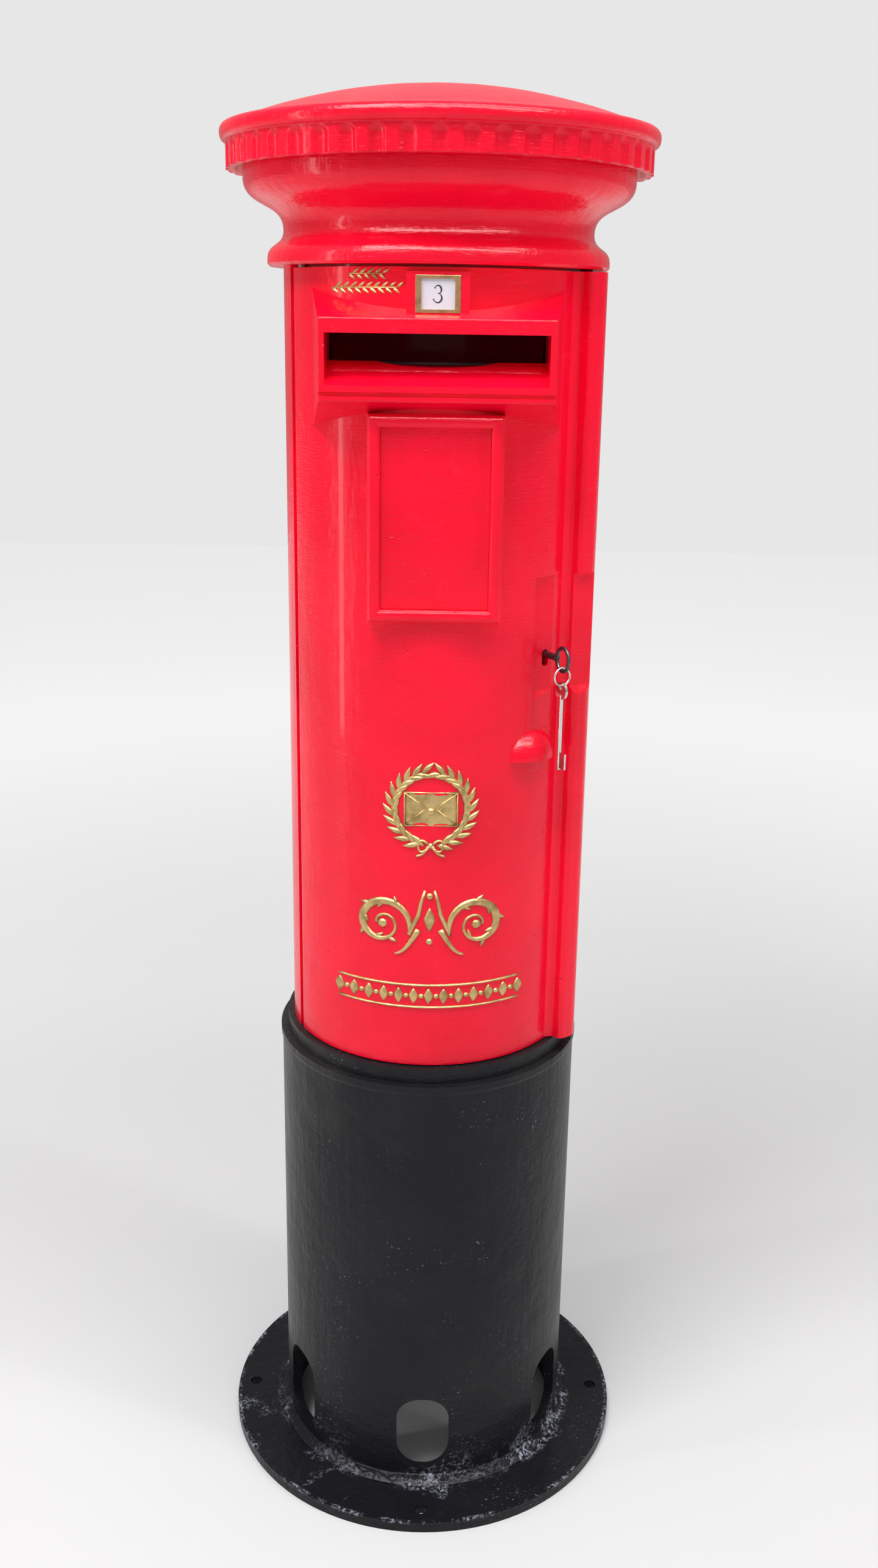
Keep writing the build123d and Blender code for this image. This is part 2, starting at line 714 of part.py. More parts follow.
# ================================================================ door
door_height = door_top - door_bottom
recess_start = body_radius * sin(radians(recess_left - lock_bearing))
tab_middle = (tab_low + tab_high) / 2
tab_height = tab_high - tab_low
chute_half = slot_half_width
screw_across = chute_half + chute_sheet + screw_head + 0.5
chute_screw_levels = (slot_bottom + 12, slot_top - 12)
screw_corners = (
    (case_left + 5.5, case_low + 5.5),
    (case_right - 5.5, case_low + 5.5),
    (case_left + 5.5, case_high - 5.5),
    (case_right - 5.5, case_high - 5.5),
)
with BuildPart() as door:
    with BuildSketch(Plane.XY.offset(door_bottom)):
        sector(inner_radius, body_radius, hinge_bearing, door_edge_bearing)
        with Locations(hinge_point):
            Circle(hinge_depth)
        with BuildLine():
            FilletPolyline(
                polar(inner_radius + 2, pilaster_bearing - pilaster_root),
                polar(body_radius - 1, pilaster_bearing - pilaster_foot),
                (pilaster_side - pilaster_cove[0], -pilaster_cove[1]),
                (pilaster_side - pilaster_hollow[0], -pilaster_hollow[1]),
                (pilaster_side - pilaster_nose[0], -pilaster_nose[1]),
                (pilaster_side, -pilaster_flank),
                (pilaster_side, -pilaster_back),
                radius=(2.0, cove_round, cove_round, pilaster_round, pilaster_round),
            )
            Line((pilaster_side, -pilaster_back), (pilaster_side, -pilaster_end))
            Line((pilaster_side, -pilaster_end), (inner_radius + 2, -pilaster_end))
            Line(
                (inner_radius + 2, -pilaster_end),
                polar(inner_radius + 2, pilaster_bearing - pilaster_root),
            )
        make_face()
        with BuildLine():
            FilletPolyline(
                (body_radius - 2, -10.0),
                (pilaster_side, -10.0),
                (pilaster_side, lip_reach - 10),
                (pilaster_side - 5, lip_reach - 8),
                radius=(1.0, 4.0),
            )
            Line((pilaster_side - 5, lip_reach - 8), (body_radius - 2, lip_reach - 8))
            Line((body_radius - 2, lip_reach - 8), (body_radius - 2, -10.0))
        make_face()
        sector(inner_radius - 30, body_radius + lip_gap, door_edge_bearing, 120, Mode.SUBTRACT)
    extrude(amount=door_height)
    add(hood.part)
    add(pull_forms[0])
    add(notice_frame.part)
    # Tab block
    with BuildSketch(Plane.XZ.offset(inner_radius - wall)):
        with Locations((0, (tab_block_low + tab_block_high) / 2)):
            Rectangle(2 * tab_block_half, tab_block_high - tab_block_low)
    extrude(amount=tab_block_front - inner_radius + wall)
    # The bore is cleared, all but the hinge bead, before the lock pad goes in
    with BuildSketch(Plane.XY.offset(door_bottom)):
        sector(ring_bore - 30, inner_radius, hinge_bearing + 5, door_edge_bearing)
    extrude(amount=door_height, mode=Mode.SUBTRACT)
    add(lock_pad.part)
    # Posting aperture with its rising sill
    with BuildSketch(Plane.YZ.offset(-slot_half_width)):
        with BuildLine():
            Polyline(
                (-hood_front - 1, slot_bottom),
                (-sill_back, slot_bottom + sill_rise),
                (-hood_root + 10, slot_bottom + sill_rise),
                (-hood_root + 10, slot_top),
                (-hood_front - 1, slot_top),
                close=True,
            )
        make_face()
    extrude(amount=2 * slot_half_width, mode=Mode.SUBTRACT)
    # Tab opening
    with BuildSketch(Plane.XZ.offset(inner_radius - wall)):
        with Locations((0, tab_middle)):
            Rectangle(2 * tab_half_width, tab_height)
    extrude(amount=hood_front, mode=Mode.SUBTRACT)
    # Finger pull hollow
    add(pull_forms[1], mode=Mode.SUBTRACT)
    # Lock recess with a bevelled sill
    with BuildSketch(key_plane.offset(key_across - recess_start)):
        with BuildLine():
            Polyline(
                (recess_floor, recess_low),
                (recess_floor, recess_high),
                (recess_floor + 60, recess_high),
                (recess_floor + 60, recess_low - recess_sill * 60 / recess_depth),
                close=True,
            )
        make_face()
    extrude(amount=recess_start - recess_right, mode=Mode.SUBTRACT)
    # Keyhole
    with BuildSketch(lock_plane.offset(pad_face)):
        with Locations((key_across, key_level - keyhole_drop)):
            RectangleRounded(keyhole_width, keyhole_height, keyhole_width / 2 - 0.1)
    extrude(amount=recess_floor - pad_face, mode=Mode.SUBTRACT)
    # Bush seats, lock screw holes and chute screw holes
    for level in (door_bottom, door_top - bush_length):
        with BuildSketch(Plane.XY.offset(level)):
            with Locations(hinge_point):
                Circle(bush_radius)
        extrude(amount=bush_length, mode=Mode.SUBTRACT)
    for level in (door_bottom, door_top - pintle_reach):
        with BuildSketch(Plane.XY.offset(level)):
            with Locations(hinge_point):
                Circle(pintle_radius + running_gap)
        extrude(amount=pintle_reach, mode=Mode.SUBTRACT)
    with BuildSketch(lock_plane.offset(pad_face)):
        with Locations(*screw_corners):
            Circle(screw_radius)
    extrude(amount=screw_grip, mode=Mode.SUBTRACT)
    with BuildSketch(Plane.XZ.offset(chute_ear_plane)):
        with Locations(*[(side * screw_across, z) for side in (-1, 1) for z in chute_screw_levels]):
            Circle(screw_radius)
    extrude(amount=chute_screw_length, mode=Mode.SUBTRACT)
save(door.part, "door")

# ================================================================ notice plate
with BuildPart() as notice_plate:
    with BuildSketch(Plane.XZ.offset(notice_flat)):
        with Locations((0, (notice_low + notice_high) / 2)):
            Rectangle(
                2 * (notice_inner - notice_plate_gap),
                notice_high - notice_low - 2 * (notice_bar + notice_plate_gap),
            )
    extrude(amount=notice_plate_rise)
save(notice_plate.part, "notice_plate")

# ================================================================ tab frame and tab
tab_inner_half = tab_half_width - tab_border
tab_inner_height = tab_height - tab_border
with BuildPart() as tab_frame:
    with BuildSketch(Plane.XZ.offset(inner_radius)):
        with Locations((0, tab_middle)):
            Rectangle(2 * tab_half_width, tab_height)
    extrude(amount=tab_block_front - inner_radius + 1)
    fillet(tab_frame.faces().sort_by(Axis.Y)[0].edges(), 0.8)
    with BuildSketch(Plane.XZ.offset(inner_radius)):
        with Locations((0, tab_middle)):
            Rectangle(2 * tab_inner_half, tab_inner_height)
    extrude(amount=tab_block_front - inner_radius - tab_lip, mode=Mode.SUBTRACT)
    with BuildSketch(Plane.XZ.offset(inner_radius)):
        with Locations((0, tab_middle)):
            Rectangle(2 * (tab_inner_half - tab_lip), tab_inner_height - 2 * tab_lip)
    extrude(amount=tab_block_front, mode=Mode.SUBTRACT)
save(tab_frame.part, "tab_frame")

with BuildPart() as collection_tab:
    with BuildSketch(Plane.XZ.offset(tab_block_front - tab_lip - tab_gap)):
        with Locations((0, tab_middle)):
            Rectangle(2 * (tab_inner_half - tab_gap), tab_inner_height - 2 * tab_gap)
    extrude(amount=-(tab_plate_thickness + tab_carrier_thickness))
save(collection_tab.part, "collection_tab")

# ================================================================ letter chute
with BuildPart() as chute:
    with BuildSketch(Plane.YZ.offset(-chute_half - chute_sheet)):
        with BuildLine():
            Polyline(
                (-inner_radius, slot_bottom + sill_rise - chute_sheet),
                (-inner_radius, slot_top + chute_sheet),
                (-chute_roof_back, slot_top + chute_sheet),
                (-chute_back, slot_bottom + sill_rise - chute_drop + 20),
                (-chute_back, slot_bottom + sill_rise - chute_drop - chute_sheet),
                (-sill_back, slot_bottom + sill_rise - chute_sheet),
                close=True,
            )
        make_face()
    extrude(amount=2 * (chute_half + chute_sheet))
    with BuildSketch(Plane.YZ.offset(-chute_half)):
        with BuildLine():
            Polyline(
                (-inner_radius, slot_bottom + sill_rise),
                (-inner_radius, slot_top),
                (-chute_roof_back + 5, slot_top),
                (-chute_roof_back + 5, slot_top + 20),
                (-chute_back + 1, slot_top + 20),
                (-chute_back + 1, slot_bottom + sill_rise - chute_drop),
                (-sill_back, slot_bottom + sill_rise),
                close=True,
            )
        make_face()
    extrude(amount=2 * chute_half, mode=Mode.SUBTRACT)
    with BuildSketch(Plane.XZ.offset(chute_ear_plane)):
        for side in (-1, 1):
            with Locations((side * (chute_half + chute_ear / 2), (slot_bottom + slot_top) / 2)):
                Rectangle(chute_ear, slot_top - slot_bottom)
    extrude(amount=40)
    with BuildSketch(Plane.XY.offset(slot_bottom - 20)):
        Circle(inner_radius)
    extrude(amount=120, mode=Mode.INTERSECT)
    with BuildSketch(Plane.XZ.offset(chute_ear_plane)):
        with Locations(*[(side * screw_across, z) for side in (-1, 1) for z in chute_screw_levels]):
            Circle(screw_radius)
    extrude(amount=chute_screw_length, mode=Mode.SUBTRACT)
save(chute.part, "chute")

with BuildPart() as chute_screws:
    with BuildSketch(Plane.XZ.offset(chute_ear_plane)):
        with Locations(*[(side * screw_across, z) for side in (-1, 1) for z in chute_screw_levels]):
            Circle(screw_radius)
    extrude(amount=chute_screw_length - 1)
    with BuildSketch(Plane.XZ.offset(chute_ear_plane - screw_head_depth)):
        with Locations(*[(side * screw_across, z) for side in (-1, 1) for z in chute_screw_levels]):
            Circle(screw_head)
    extrude(amount=screw_head_depth)
save(chute_screws.part, "chute_screws")

# ================================================================ lever lock
with BuildPart() as lock_case:
    with BuildSketch(lock_plane.offset(case_back)):
        with Locations(((case_left + case_right) / 2, (case_low + case_high) / 2)):
            Rectangle(case_right - case_left, case_high - case_low)
    extrude(amount=case_depth)
    with BuildSketch(lock_plane.offset(case_back)):
        with Locations(((case_left + case_right) / 2, (case_low + case_high) / 2)):
            Rectangle(case_right - case_left - 2 * case_wall, case_high - case_low - 2 * case_wall)
        with Locations(*screw_corners):
            Circle(screw_post, mode=Mode.SUBTRACT)
    extrude(amount=case_depth - case_wall, mode=Mode.SUBTRACT)
    with BuildSketch(lock_plane.offset(case_back)):
        with Locations(*screw_corners):
            Circle(screw_radius)
        with Locations((lever_pivot_across, lever_pivot_level)):
            Circle(lever_pivot_radius)
        with Locations((key_across, key_level - keyhole_drop)):
            RectangleRounded(keyhole_width, keyhole_height, keyhole_width / 2 - 0.1)
    extrude(amount=case_depth, mode=Mode.SUBTRACT)
    with BuildSketch(key_plane.offset(key_across - case_right + case_wall + 1)):
        with Locations(((lock_bolt_front + lock_bolt_back) / 2, lock_bolt_low + lock_bolt_height / 2)):
            Rectangle(lock_bolt_thickness + 2 * lock_gap, lock_bolt_height + 2 * lock_gap)
    extrude(amount=-case_wall - 2, mode=Mode.SUBTRACT)
save(lock_case.part, "lock_case")

with BuildPart() as lock_cover:
    with BuildSketch(lock_plane.offset(case_back - cover_thickness)):
        with Locations(((case_left + case_right) / 2, (case_low + case_high) / 2)):
            Rectangle(case_right - case_left, case_high - case_low)
        with Locations(*screw_corners):
            Circle(screw_radius, mode=Mode.SUBTRACT)
    extrude(amount=cover_thickness)
save(lock_cover.part, "lock_cover")

with BuildPart() as lock_screws:
    with BuildSketch(lock_plane.offset(case_back - cover_thickness)):
        with Locations(*screw_corners):
            Circle(screw_radius)
    extrude(amount=cover_thickness + case_depth + screw_grip - 1)
    with BuildSketch(lock_plane.offset(case_back - cover_thickness - screw_head_depth)):
        with Locations(*screw_corners):
            Circle(screw_head)
    extrude(amount=screw_head_depth)
save(lock_screws.part, "lock_screws")

with BuildPart() as lever_pivot:
    with BuildSketch(lock_plane.offset(case_back)):
        with Locations((lever_pivot_across, lever_pivot_level)):
            Circle(lever_pivot_radius)
    extrude(amount=case_depth)
save(lever_pivot.part, "lever_pivot")

lock_bolt_tip = case_right + lock_bolt_proud
lever_front = lock_bolt_back - 0.4
lever_back = lever_front - lever_count * lever_spacing
with BuildPart() as lock_bolt:
    with BuildSketch(lock_plane.offset(lock_bolt_back)):
        with Locations(((lock_bolt_tail + lock_bolt_tip) / 2, lock_bolt_middle)):
            Rectangle(lock_bolt_tip - lock_bolt_tail, lock_bolt_height)
        with Locations((key_across + (talon_right - talon_left) / 2, lock_bolt_low + talon_depth / 2)):
            Rectangle(talon_left + talon_right, talon_depth, mode=Mode.SUBTRACT)
    extrude(amount=lock_bolt_thickness)
    with BuildSketch(lock_plane.offset(lever_back - 1)):
        with Locations((stump_across, stump_level)):
            Circle(stump_radius)
    extrude(amount=lock_bolt_back - lever_back + 1)
save(lock_bolt.part, "lock_bolt")

gate_low = stump_level - stump_radius - lever_gate_drop
gate_top = stump_level + stump_radius + lever_gate_slack
gate_left = stump_across - stump_radius - lever_gate_back
gate_right = stump_across + lock_throw + stump_radius + 2 * lever_gate_slack
with BuildPart() as levers:
    for number in range(lever_count):
        with BuildSketch(lock_plane.offset(lever_front - lever_thickness - number * lever_spacing)):
            with Locations(((lever_left + lever_right) / 2, (lever_low + lever_high) / 2)):
                Rectangle(lever_right - lever_left, lever_high - lever_low)
            with Locations(((gate_left + gate_right) / 2, (gate_low + gate_top) / 2)):
                Rectangle(gate_right - gate_left, gate_top - gate_low, mode=Mode.SUBTRACT)
            with Locations((lever_pivot_across, lever_pivot_level)):
                Circle(lever_pivot_radius + running_gap, mode=Mode.SUBTRACT)
        extrude(amount=lever_thickness)
save(levers.part, "levers")

# ================================================================ strike plate
with BuildPart() as strike_plate:
    with BuildSketch(key_plane.offset(key_across - strike_seat)):
        with Locations((strike_middle, lock_bolt_middle)):
            Rectangle(strike_width, strike_height)
            Rectangle(
                lock_bolt_thickness + 2 * lock_gap + 1,
                lock_bolt_height + 2 * lock_gap + 1,
                mode=Mode.SUBTRACT,
            )
        with Locations(*strike_screw_places):
            Circle(strike_screw_radius, mode=Mode.SUBTRACT)
    extrude(amount=strike_thickness)
save(strike_plate.part, "strike_plate")

with BuildPart() as strike_screws:
    with BuildSketch(key_plane.offset(key_across - strike_seat)):
        with Locations(*strike_screw_places):
            Circle(strike_screw_radius)
    extrude(amount=strike_thickness)
    extrude(strike_screws.faces().filter_by(GeomType.PLANE).group_by(Axis(
        (0, 0, 0), lock_plane.x_dir))[-1], amount=strike_screw_length)
save(strike_screws.part, "strike_screws")

# ================================================================ keys and ring
with BuildPart() as key:
    with BuildSketch(key_plane):
        with Locations((ring_face, key_level)):
            Ellipse(bow_length / 2, bow_height / 2)
            Ellipse(bow_length / 2 - bow_rim, bow_height / 2 - bow_rim, mode=Mode.SUBTRACT)
    extrude(amount=bow_thickness / 2, both=True)
    fillet(key.edges(), bow_thickness / 2 - 0.1)
    with BuildSketch(lock_plane.offset(pad_face + 1)):
        with Locations((key_across, key_level)):
            Circle(shank_radius)
    extrude(amount=recess_floor + bow_near + bow_rim / 2 - pad_face - 1)
    with BuildSketch(lock_plane.offset(bit_back - 3)):
        with Locations((key_across, key_level)):
            Circle(shank_inner_radius)
    extrude(amount=pad_face + 2 - bit_back + 3)
    with BuildSketch(key_plane):
        with Locations((bit_back + bit_length / 2, key_level - bit_reach / 2)):
            Rectangle(bit_length, bit_reach)
    extrude(amount=bit_thickness / 2, both=True)
save(key.part, "key")

with BuildPart() as key_ring:
    with BuildSketch(key_plane):
        with Locations((ring_face, ring_centre + ring_inner + ring_wire / 2)):
            Circle(ring_wire / 2)
    ring_middle = Vector(*(lock_plane.z_dir * ring_face + lock_plane.x_dir * key_across))
    revolve(axis=Axis(ring_middle + Vector(0, 0, ring_centre), lock_plane.z_dir))
save(key_ring.part, "key_ring")

spare_top = spare_bow_level + spare_bow_radius
spare_low = spare_top - spare_length
with BuildPart() as spare_key:
    with BuildSketch(key_plane):
        with Locations((ring_face, spare_bow_level)):
            Circle(spare_bow_radius)
        with Locations((ring_face, spare_eye_level)):
            Circle(spare_eye, mode=Mode.SUBTRACT)
    extrude(amount=spare_bow_thickness / 2, both=True)
    with BuildSketch(Plane.XY.offset(spare_low)):
        with Locations((ring_middle.X, ring_middle.Y)):
            Circle(spare_shank)
    extrude(amount=spare_bow_level - spare_bow_radius / 2 - spare_low)
    with BuildSketch(key_plane):
        with Locations((ring_face + spare_bit_reach / 2, spare_low + spare_bit_height / 2 + 2)):
            Rectangle(spare_bit_reach, spare_bit_height)
    extrude(amount=bit_thickness / 2, both=True)
save(spare_key.part, "spare_key")

# ================================================================ letter guard
guard_height = guard_high - guard_low
guard_middle = (guard_high + guard_low) / 2
rod_step = 2 * (guard_half_width - guard_bar) / (guard_rod_count + 1)
with BuildPart() as letter_guard:
    with BuildSketch(Plane.XZ.offset(guard_plane - guard_bar_thickness / 2)):
        with Locations((0, guard_middle)):
            Rectangle(2 * guard_half_width, guard_height)
            Rectangle(
                2 * (guard_half_width - guard_bar), guard_height - 2 * guard_bar, mode=Mode.SUBTRACT
            )
        with Locations((0, guard_middle)):
            Rectangle(2 * guard_half_width, guard_bar)
        for level in hook_levels:
            with Locations((0, level + hook_gap + guard_lug_height / 2)):
                Rectangle(2 * (guard_half_width + guard_lug), guard_lug_height)
                Rectangle(2 * (guard_half_width - 1), guard_lug_height, mode=Mode.SUBTRACT)
    extrude(amount=guard_bar_thickness)
    with BuildSketch(Plane.XY.offset(guard_low + guard_bar / 2)):
        with GridLocations(rod_step, 1, guard_rod_count, 1):
            with Locations((0, -guard_plane)):
                Circle(guard_rod)
    extrude(amount=guard_height - guard_bar)
save(letter_guard.part, "letter_guard")

with BuildPart() as guard_hooks:
    for side, reach in ((-1, stop_inner), (1, jamb_outer - jamb_web)):
        for level in hook_levels:
            with BuildSketch(Plane.XY.offset(level - hook_wall)):
                with Locations((side * (guard_half_width + 25), -guard_plane)):
                    Rectangle(48, guard_bar_thickness + 2 * (hook_gap + hook_wall))
                sector(reach, body_radius + 30, 90 * side - 60, 90 * side + 60, Mode.SUBTRACT)
            extrude(amount=hook_wall + guard_lug_height)
        with BuildSketch(Plane.XY.offset(hook_levels[0])):
            with Locations((side * (guard_half_width + guard_lug / 2), -guard_plane)):
                Rectangle(guard_lug + 2 * hook_gap, guard_bar_thickness + 2 * hook_gap)
        extrude(amount=guard_lug_height, mode=Mode.SUBTRACT)
        with BuildSketch(Plane.XY.offset(hook_levels[1])):
            with Locations((side * (guard_half_width + guard_lug / 2), -guard_plane)):
                Rectangle(guard_lug + 2 * hook_gap, guard_bar_thickness + 2 * hook_gap)
        extrude(amount=guard_lug_height, mode=Mode.SUBTRACT)
save(guard_hooks.part, "guard_hooks")

# ================================================================ gilded ornaments
# Flat patterns wrapped on the door: each is cut from a thin ring round its face.
with BuildPart() as relief_ring:
    with BuildSketch(Plane.XY.offset(door_bottom)):
        sector(body_radius, body_radius + relief, -55, 55)
    extrude(amount=door_height)

with BuildPart() as gilt_wreath:
    with BuildSketch(Plane.XZ.offset(inner_radius - 4 * wall)):
        with Locations((0, crest_level)):
            Circle(crest_width / 2)
            Circle(crest_width / 2 - 12, mode=Mode.SUBTRACT)
    extrude(amount=6 * wall)
    add(relief_ring.part, mode=Mode.INTERSECT)
save(gilt_wreath.part, "gilt_wreath")

with BuildPart() as gilt_envelope:
    with BuildSketch(Plane.XZ.offset(inner_radius - 2 * wall)):
        with Locations((0, crest_level)):
            Rectangle(0.56 * crest_width, 0.38 * crest_width)
    extrude(amount=4 * wall)
    add(relief_ring.part, mode=Mode.INTERSECT)
save(gilt_envelope.part, "gilt_envelope")

with BuildPart() as gilt_scrolls:
    with BuildSketch(Plane.XZ.offset(inner_radius - 6 * wall)):
        with Locations((-scroll_reach / 2 - 4, scroll_level), (scroll_reach / 2 + 4, scroll_level)):
            Ellipse(scroll_reach / 2, scroll_reach / 2)
            Ellipse(scroll_reach / 4, scroll_reach / 4, mode=Mode.SUBTRACT)
    extrude(amount=8 * wall)
    add(relief_ring.part, mode=Mode.INTERSECT)
save(gilt_scrolls.part, "gilt_scrolls")

with BuildPart() as gilt_band:
    with BuildSketch(Plane.XZ.offset(inner_radius - 6 * wall)):
        with Locations((0, band_level)):
            SlotOverall(2 * band_half_width, band_height)
    extrude(amount=8 * wall)
    add(relief_ring.part, mode=Mode.INTERSECT)
save(gilt_band.part, "gilt_band")

with BuildPart() as gilt_sprig:
    with BuildSketch(Plane.XZ.offset(inner_radius - 6 * wall)):
        with Locations((-sprig_middle, sprig_level)):
            SlotOverall(sprig_length, sprig_height)
    extrude(amount=8 * wall)
    add(relief_ring.part, mode=Mode.INTERSECT)
save(gilt_sprig.part, "gilt_sprig")
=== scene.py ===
"""Looks of a free-standing cast-iron pillar letter box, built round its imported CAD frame.

Metres throughout. +Z is up, the front of the box faces -Y, and bearings run round the box in
degrees from the front, positive towards +X.
"""

from __future__ import annotations

import logging
import math
from dataclasses import dataclass
from enum import Enum

import bmesh
import bpy
from mathutils import Matrix, Vector, noise

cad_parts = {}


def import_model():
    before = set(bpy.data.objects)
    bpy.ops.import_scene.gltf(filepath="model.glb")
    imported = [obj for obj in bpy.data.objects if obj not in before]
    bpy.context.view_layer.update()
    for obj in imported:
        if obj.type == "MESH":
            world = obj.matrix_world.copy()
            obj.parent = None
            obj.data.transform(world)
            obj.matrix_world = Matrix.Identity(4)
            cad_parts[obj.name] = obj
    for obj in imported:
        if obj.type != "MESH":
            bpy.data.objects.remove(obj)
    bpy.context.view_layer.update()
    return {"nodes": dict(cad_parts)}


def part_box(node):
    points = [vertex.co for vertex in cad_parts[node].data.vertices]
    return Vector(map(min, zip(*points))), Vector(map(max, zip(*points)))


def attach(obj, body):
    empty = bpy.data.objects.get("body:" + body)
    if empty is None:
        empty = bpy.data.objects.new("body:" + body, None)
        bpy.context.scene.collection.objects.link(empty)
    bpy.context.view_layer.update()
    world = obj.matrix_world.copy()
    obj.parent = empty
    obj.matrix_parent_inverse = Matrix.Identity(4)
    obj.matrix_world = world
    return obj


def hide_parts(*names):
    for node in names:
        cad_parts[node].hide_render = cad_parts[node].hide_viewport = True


LOG = logging.getLogger("pillar_box")
Point = tuple[float, float, float]
Colour = tuple[float, float, float, float]
SectionPoint = tuple[float, float, float, float]

BLACK: Colour = (0.0, 0.0, 0.0, 1.0)
ROOT_RADIUS = 0.2075
FLANGE_RADIUS = 0.286
FLANGE_TOP = 0.016


# ---------------------------------------------------------------- shader maths
class Wire:
    """A float socket on which Python arithmetic adds Math nodes."""

    def __init__(self, shader: "Shader", socket: bpy.types.NodeSocket) -> None:
        """Wraps one output socket of a shader."""
        self.shader = shader
        self.socket = socket

    def _math(self, operation: str, first: object, second: object = 0.0) -> "Wire":
        """Adds one Math node.

        Args:
            operation: the Math node's operation.
            first: a wire or a number.
            second: a wire or a number.

        Returns:
            The node's output.
        """
        return self.shader.node("ShaderNodeMath", {"operation": operation}, {0: first, 1: second})

    def __add__(self, other: object) -> "Wire":
        """Sum."""
        return self._math("ADD", self, other)

    __radd__ = __add__

    def __sub__(self, other: object) -> "Wire":
        """Difference."""
        return self._math("SUBTRACT", self, other)

    def __rsub__(self, other: object) -> "Wire":
        """Reflected difference."""
        return self._math("SUBTRACT", other, self)

    def __mul__(self, other: object) -> "Wire":
        """Product."""
        return self._math("MULTIPLY", self, other)

    __rmul__ = __mul__

    def __pow__(self, other: object) -> "Wire":
        """Power."""
        return self._math("POWER", self, other)

    def clamp(self) -> "Wire":
        """The value held between 0 and 1."""
        return self.shader.node(
            "ShaderNodeClamp", {}, {"Value": self, "Min": 0.0, "Max": 1.0}, "Result"
        )

    def step(self, low: float, high: float) -> "Wire":
        """A smooth step.

        Args:
            low: where it is 0.
            high: where it is 1.

        Returns:
            The stepped value.
        """
        return self.shader.node(
            "ShaderNodeMapRange",
            {"interpolation_type": "SMOOTHSTEP"},
            {"Value": self, "From Min": low, "From Max": high, "To Min": 0.0, "To Max": 1.0},
            "Result",
        )


class Shader:
    """A material with one Principled shader, and the methods that feed it."""

    def __init__(self, name: str) -> None:
        """Makes an empty node material of that name."""
        self.material = bpy.data.materials.new(name)
        self.material.use_nodes = True
        self.tree = self.material.node_tree
        self.tree.nodes.clear()
        self.output = self.tree.nodes.new("ShaderNodeOutputMaterial")
        self.principled = self.tree.nodes.new("ShaderNodeBsdfPrincipled")
        self.tree.links.new(self.principled.outputs["BSDF"], self.output.inputs["Surface"])
        self.place = self.node("ShaderNodeTexCoord", {}, {}, "Object")

    def node(
        self,
        kind: str,
        settings: dict[str, object],
        inputs: dict[int | str, object],
        output: int | str = 0,
    ) -> Wire:
        """Adds any node.

        Args:
            kind: the node's type.
            settings: its properties, set first.
            inputs: the values or wires of its sockets.
            output: which output to return.

        Returns:
            The chosen output.
        """
        made = self.tree.nodes.new(kind)
        for key, value in settings.items():
            setattr(made, key, value)
        for key, value in inputs.items():
            self.feed(made.inputs[key], value)
        return Wire(self, made.outputs[output])

    def feed(self, socket: bpy.types.NodeSocket, value: object) -> None:
        """Links a wire to a socket, or sets the socket's own value.

        Args:
            socket: an input of this material.
            value: a wire or a plain value.
        """
        if isinstance(value, Wire):
            self.tree.links.new(value.socket, socket)
        else:
            socket.default_value = value

    def set(self, **sockets: object) -> None:
        """Feeds the Principled shader; underscores stand for spaces."""
        for key, value in sockets.items():
            self.feed(self.principled.inputs[key.replace("_", " ")], value)

    def stretched(self, scale: Point) -> Wire:
        """Object coordinates scaled by axis."""
        return self.node("ShaderNodeMapping", {}, {"Vector": self.place, "Scale": scale})

    def axis(self, name: str) -> Wire:
        """One of the object coordinates, X, Y or Z."""
        return self.node("ShaderNodeSeparateXYZ", {}, {"Vector": self.place}, name)

    def radius(self) -> Wire:
        """Distance from the upright axis."""
        x, y = self.axis("X"), self.axis("Y")
        return (x * x + y * y) ** 0.5

    def noise(
        self, scale: float, detail: float = 3.0, rough: float = 0.55, at: Wire | None = None
    ) -> Wire:
        """A noise field.

        Args:
            scale: features per metre.
            detail: octaves.
            rough: how strong the fine octaves are.
            at: where it is read, object coordinates by default.

        Returns:
            The field, about 0.5 on average.
        """
        return self.node(
            "ShaderNodeTexNoise",
            {},
            {"Vector": at or self.place, "Scale": scale, "Detail": detail, "Roughness": rough},
            "Fac",
        )

    def cells(self, scale: float, at: Wire | None = None) -> Wire:
        """Distance to the nearest of scattered points, in cells."""
        return self.node(
            "ShaderNodeTexVoronoi", {}, {"Vector": at or self.place, "Scale": scale}, "Distance"
        )

    def mix(self, factor: object, first: object, second: object) -> Wire:
        """Mixes two colours.

        Args:
            factor: 0 for the first, 1 for the second.
            first: a wire or a colour.
            second: a wire or a colour.

        Returns:
            The mixed colour.
        """
        made = self.tree.nodes.new("ShaderNodeMix")
        made.data_type = "RGBA"
        for index, value in ((0, factor), (6, first), (7, second)):
            self.feed(made.inputs[index], value)
        return Wire(self, made.outputs[2])

    def bump(self, height: Wire, depth: float, onto: Wire | None = None) -> Wire:
        """A bump.

        Args:
            height: the height field.
            depth: how many metres a height of 1 stands for.
            onto: a bump that this one adds to.

        Returns:
            The bumped normal.
        """
        inputs: dict[int | str, object] = {"Height": height, "Distance": depth, "Strength": 1.0}
        if onto is not None:
            inputs["Normal"] = onto
        return self.node("ShaderNodeBump", {}, inputs, "Normal")


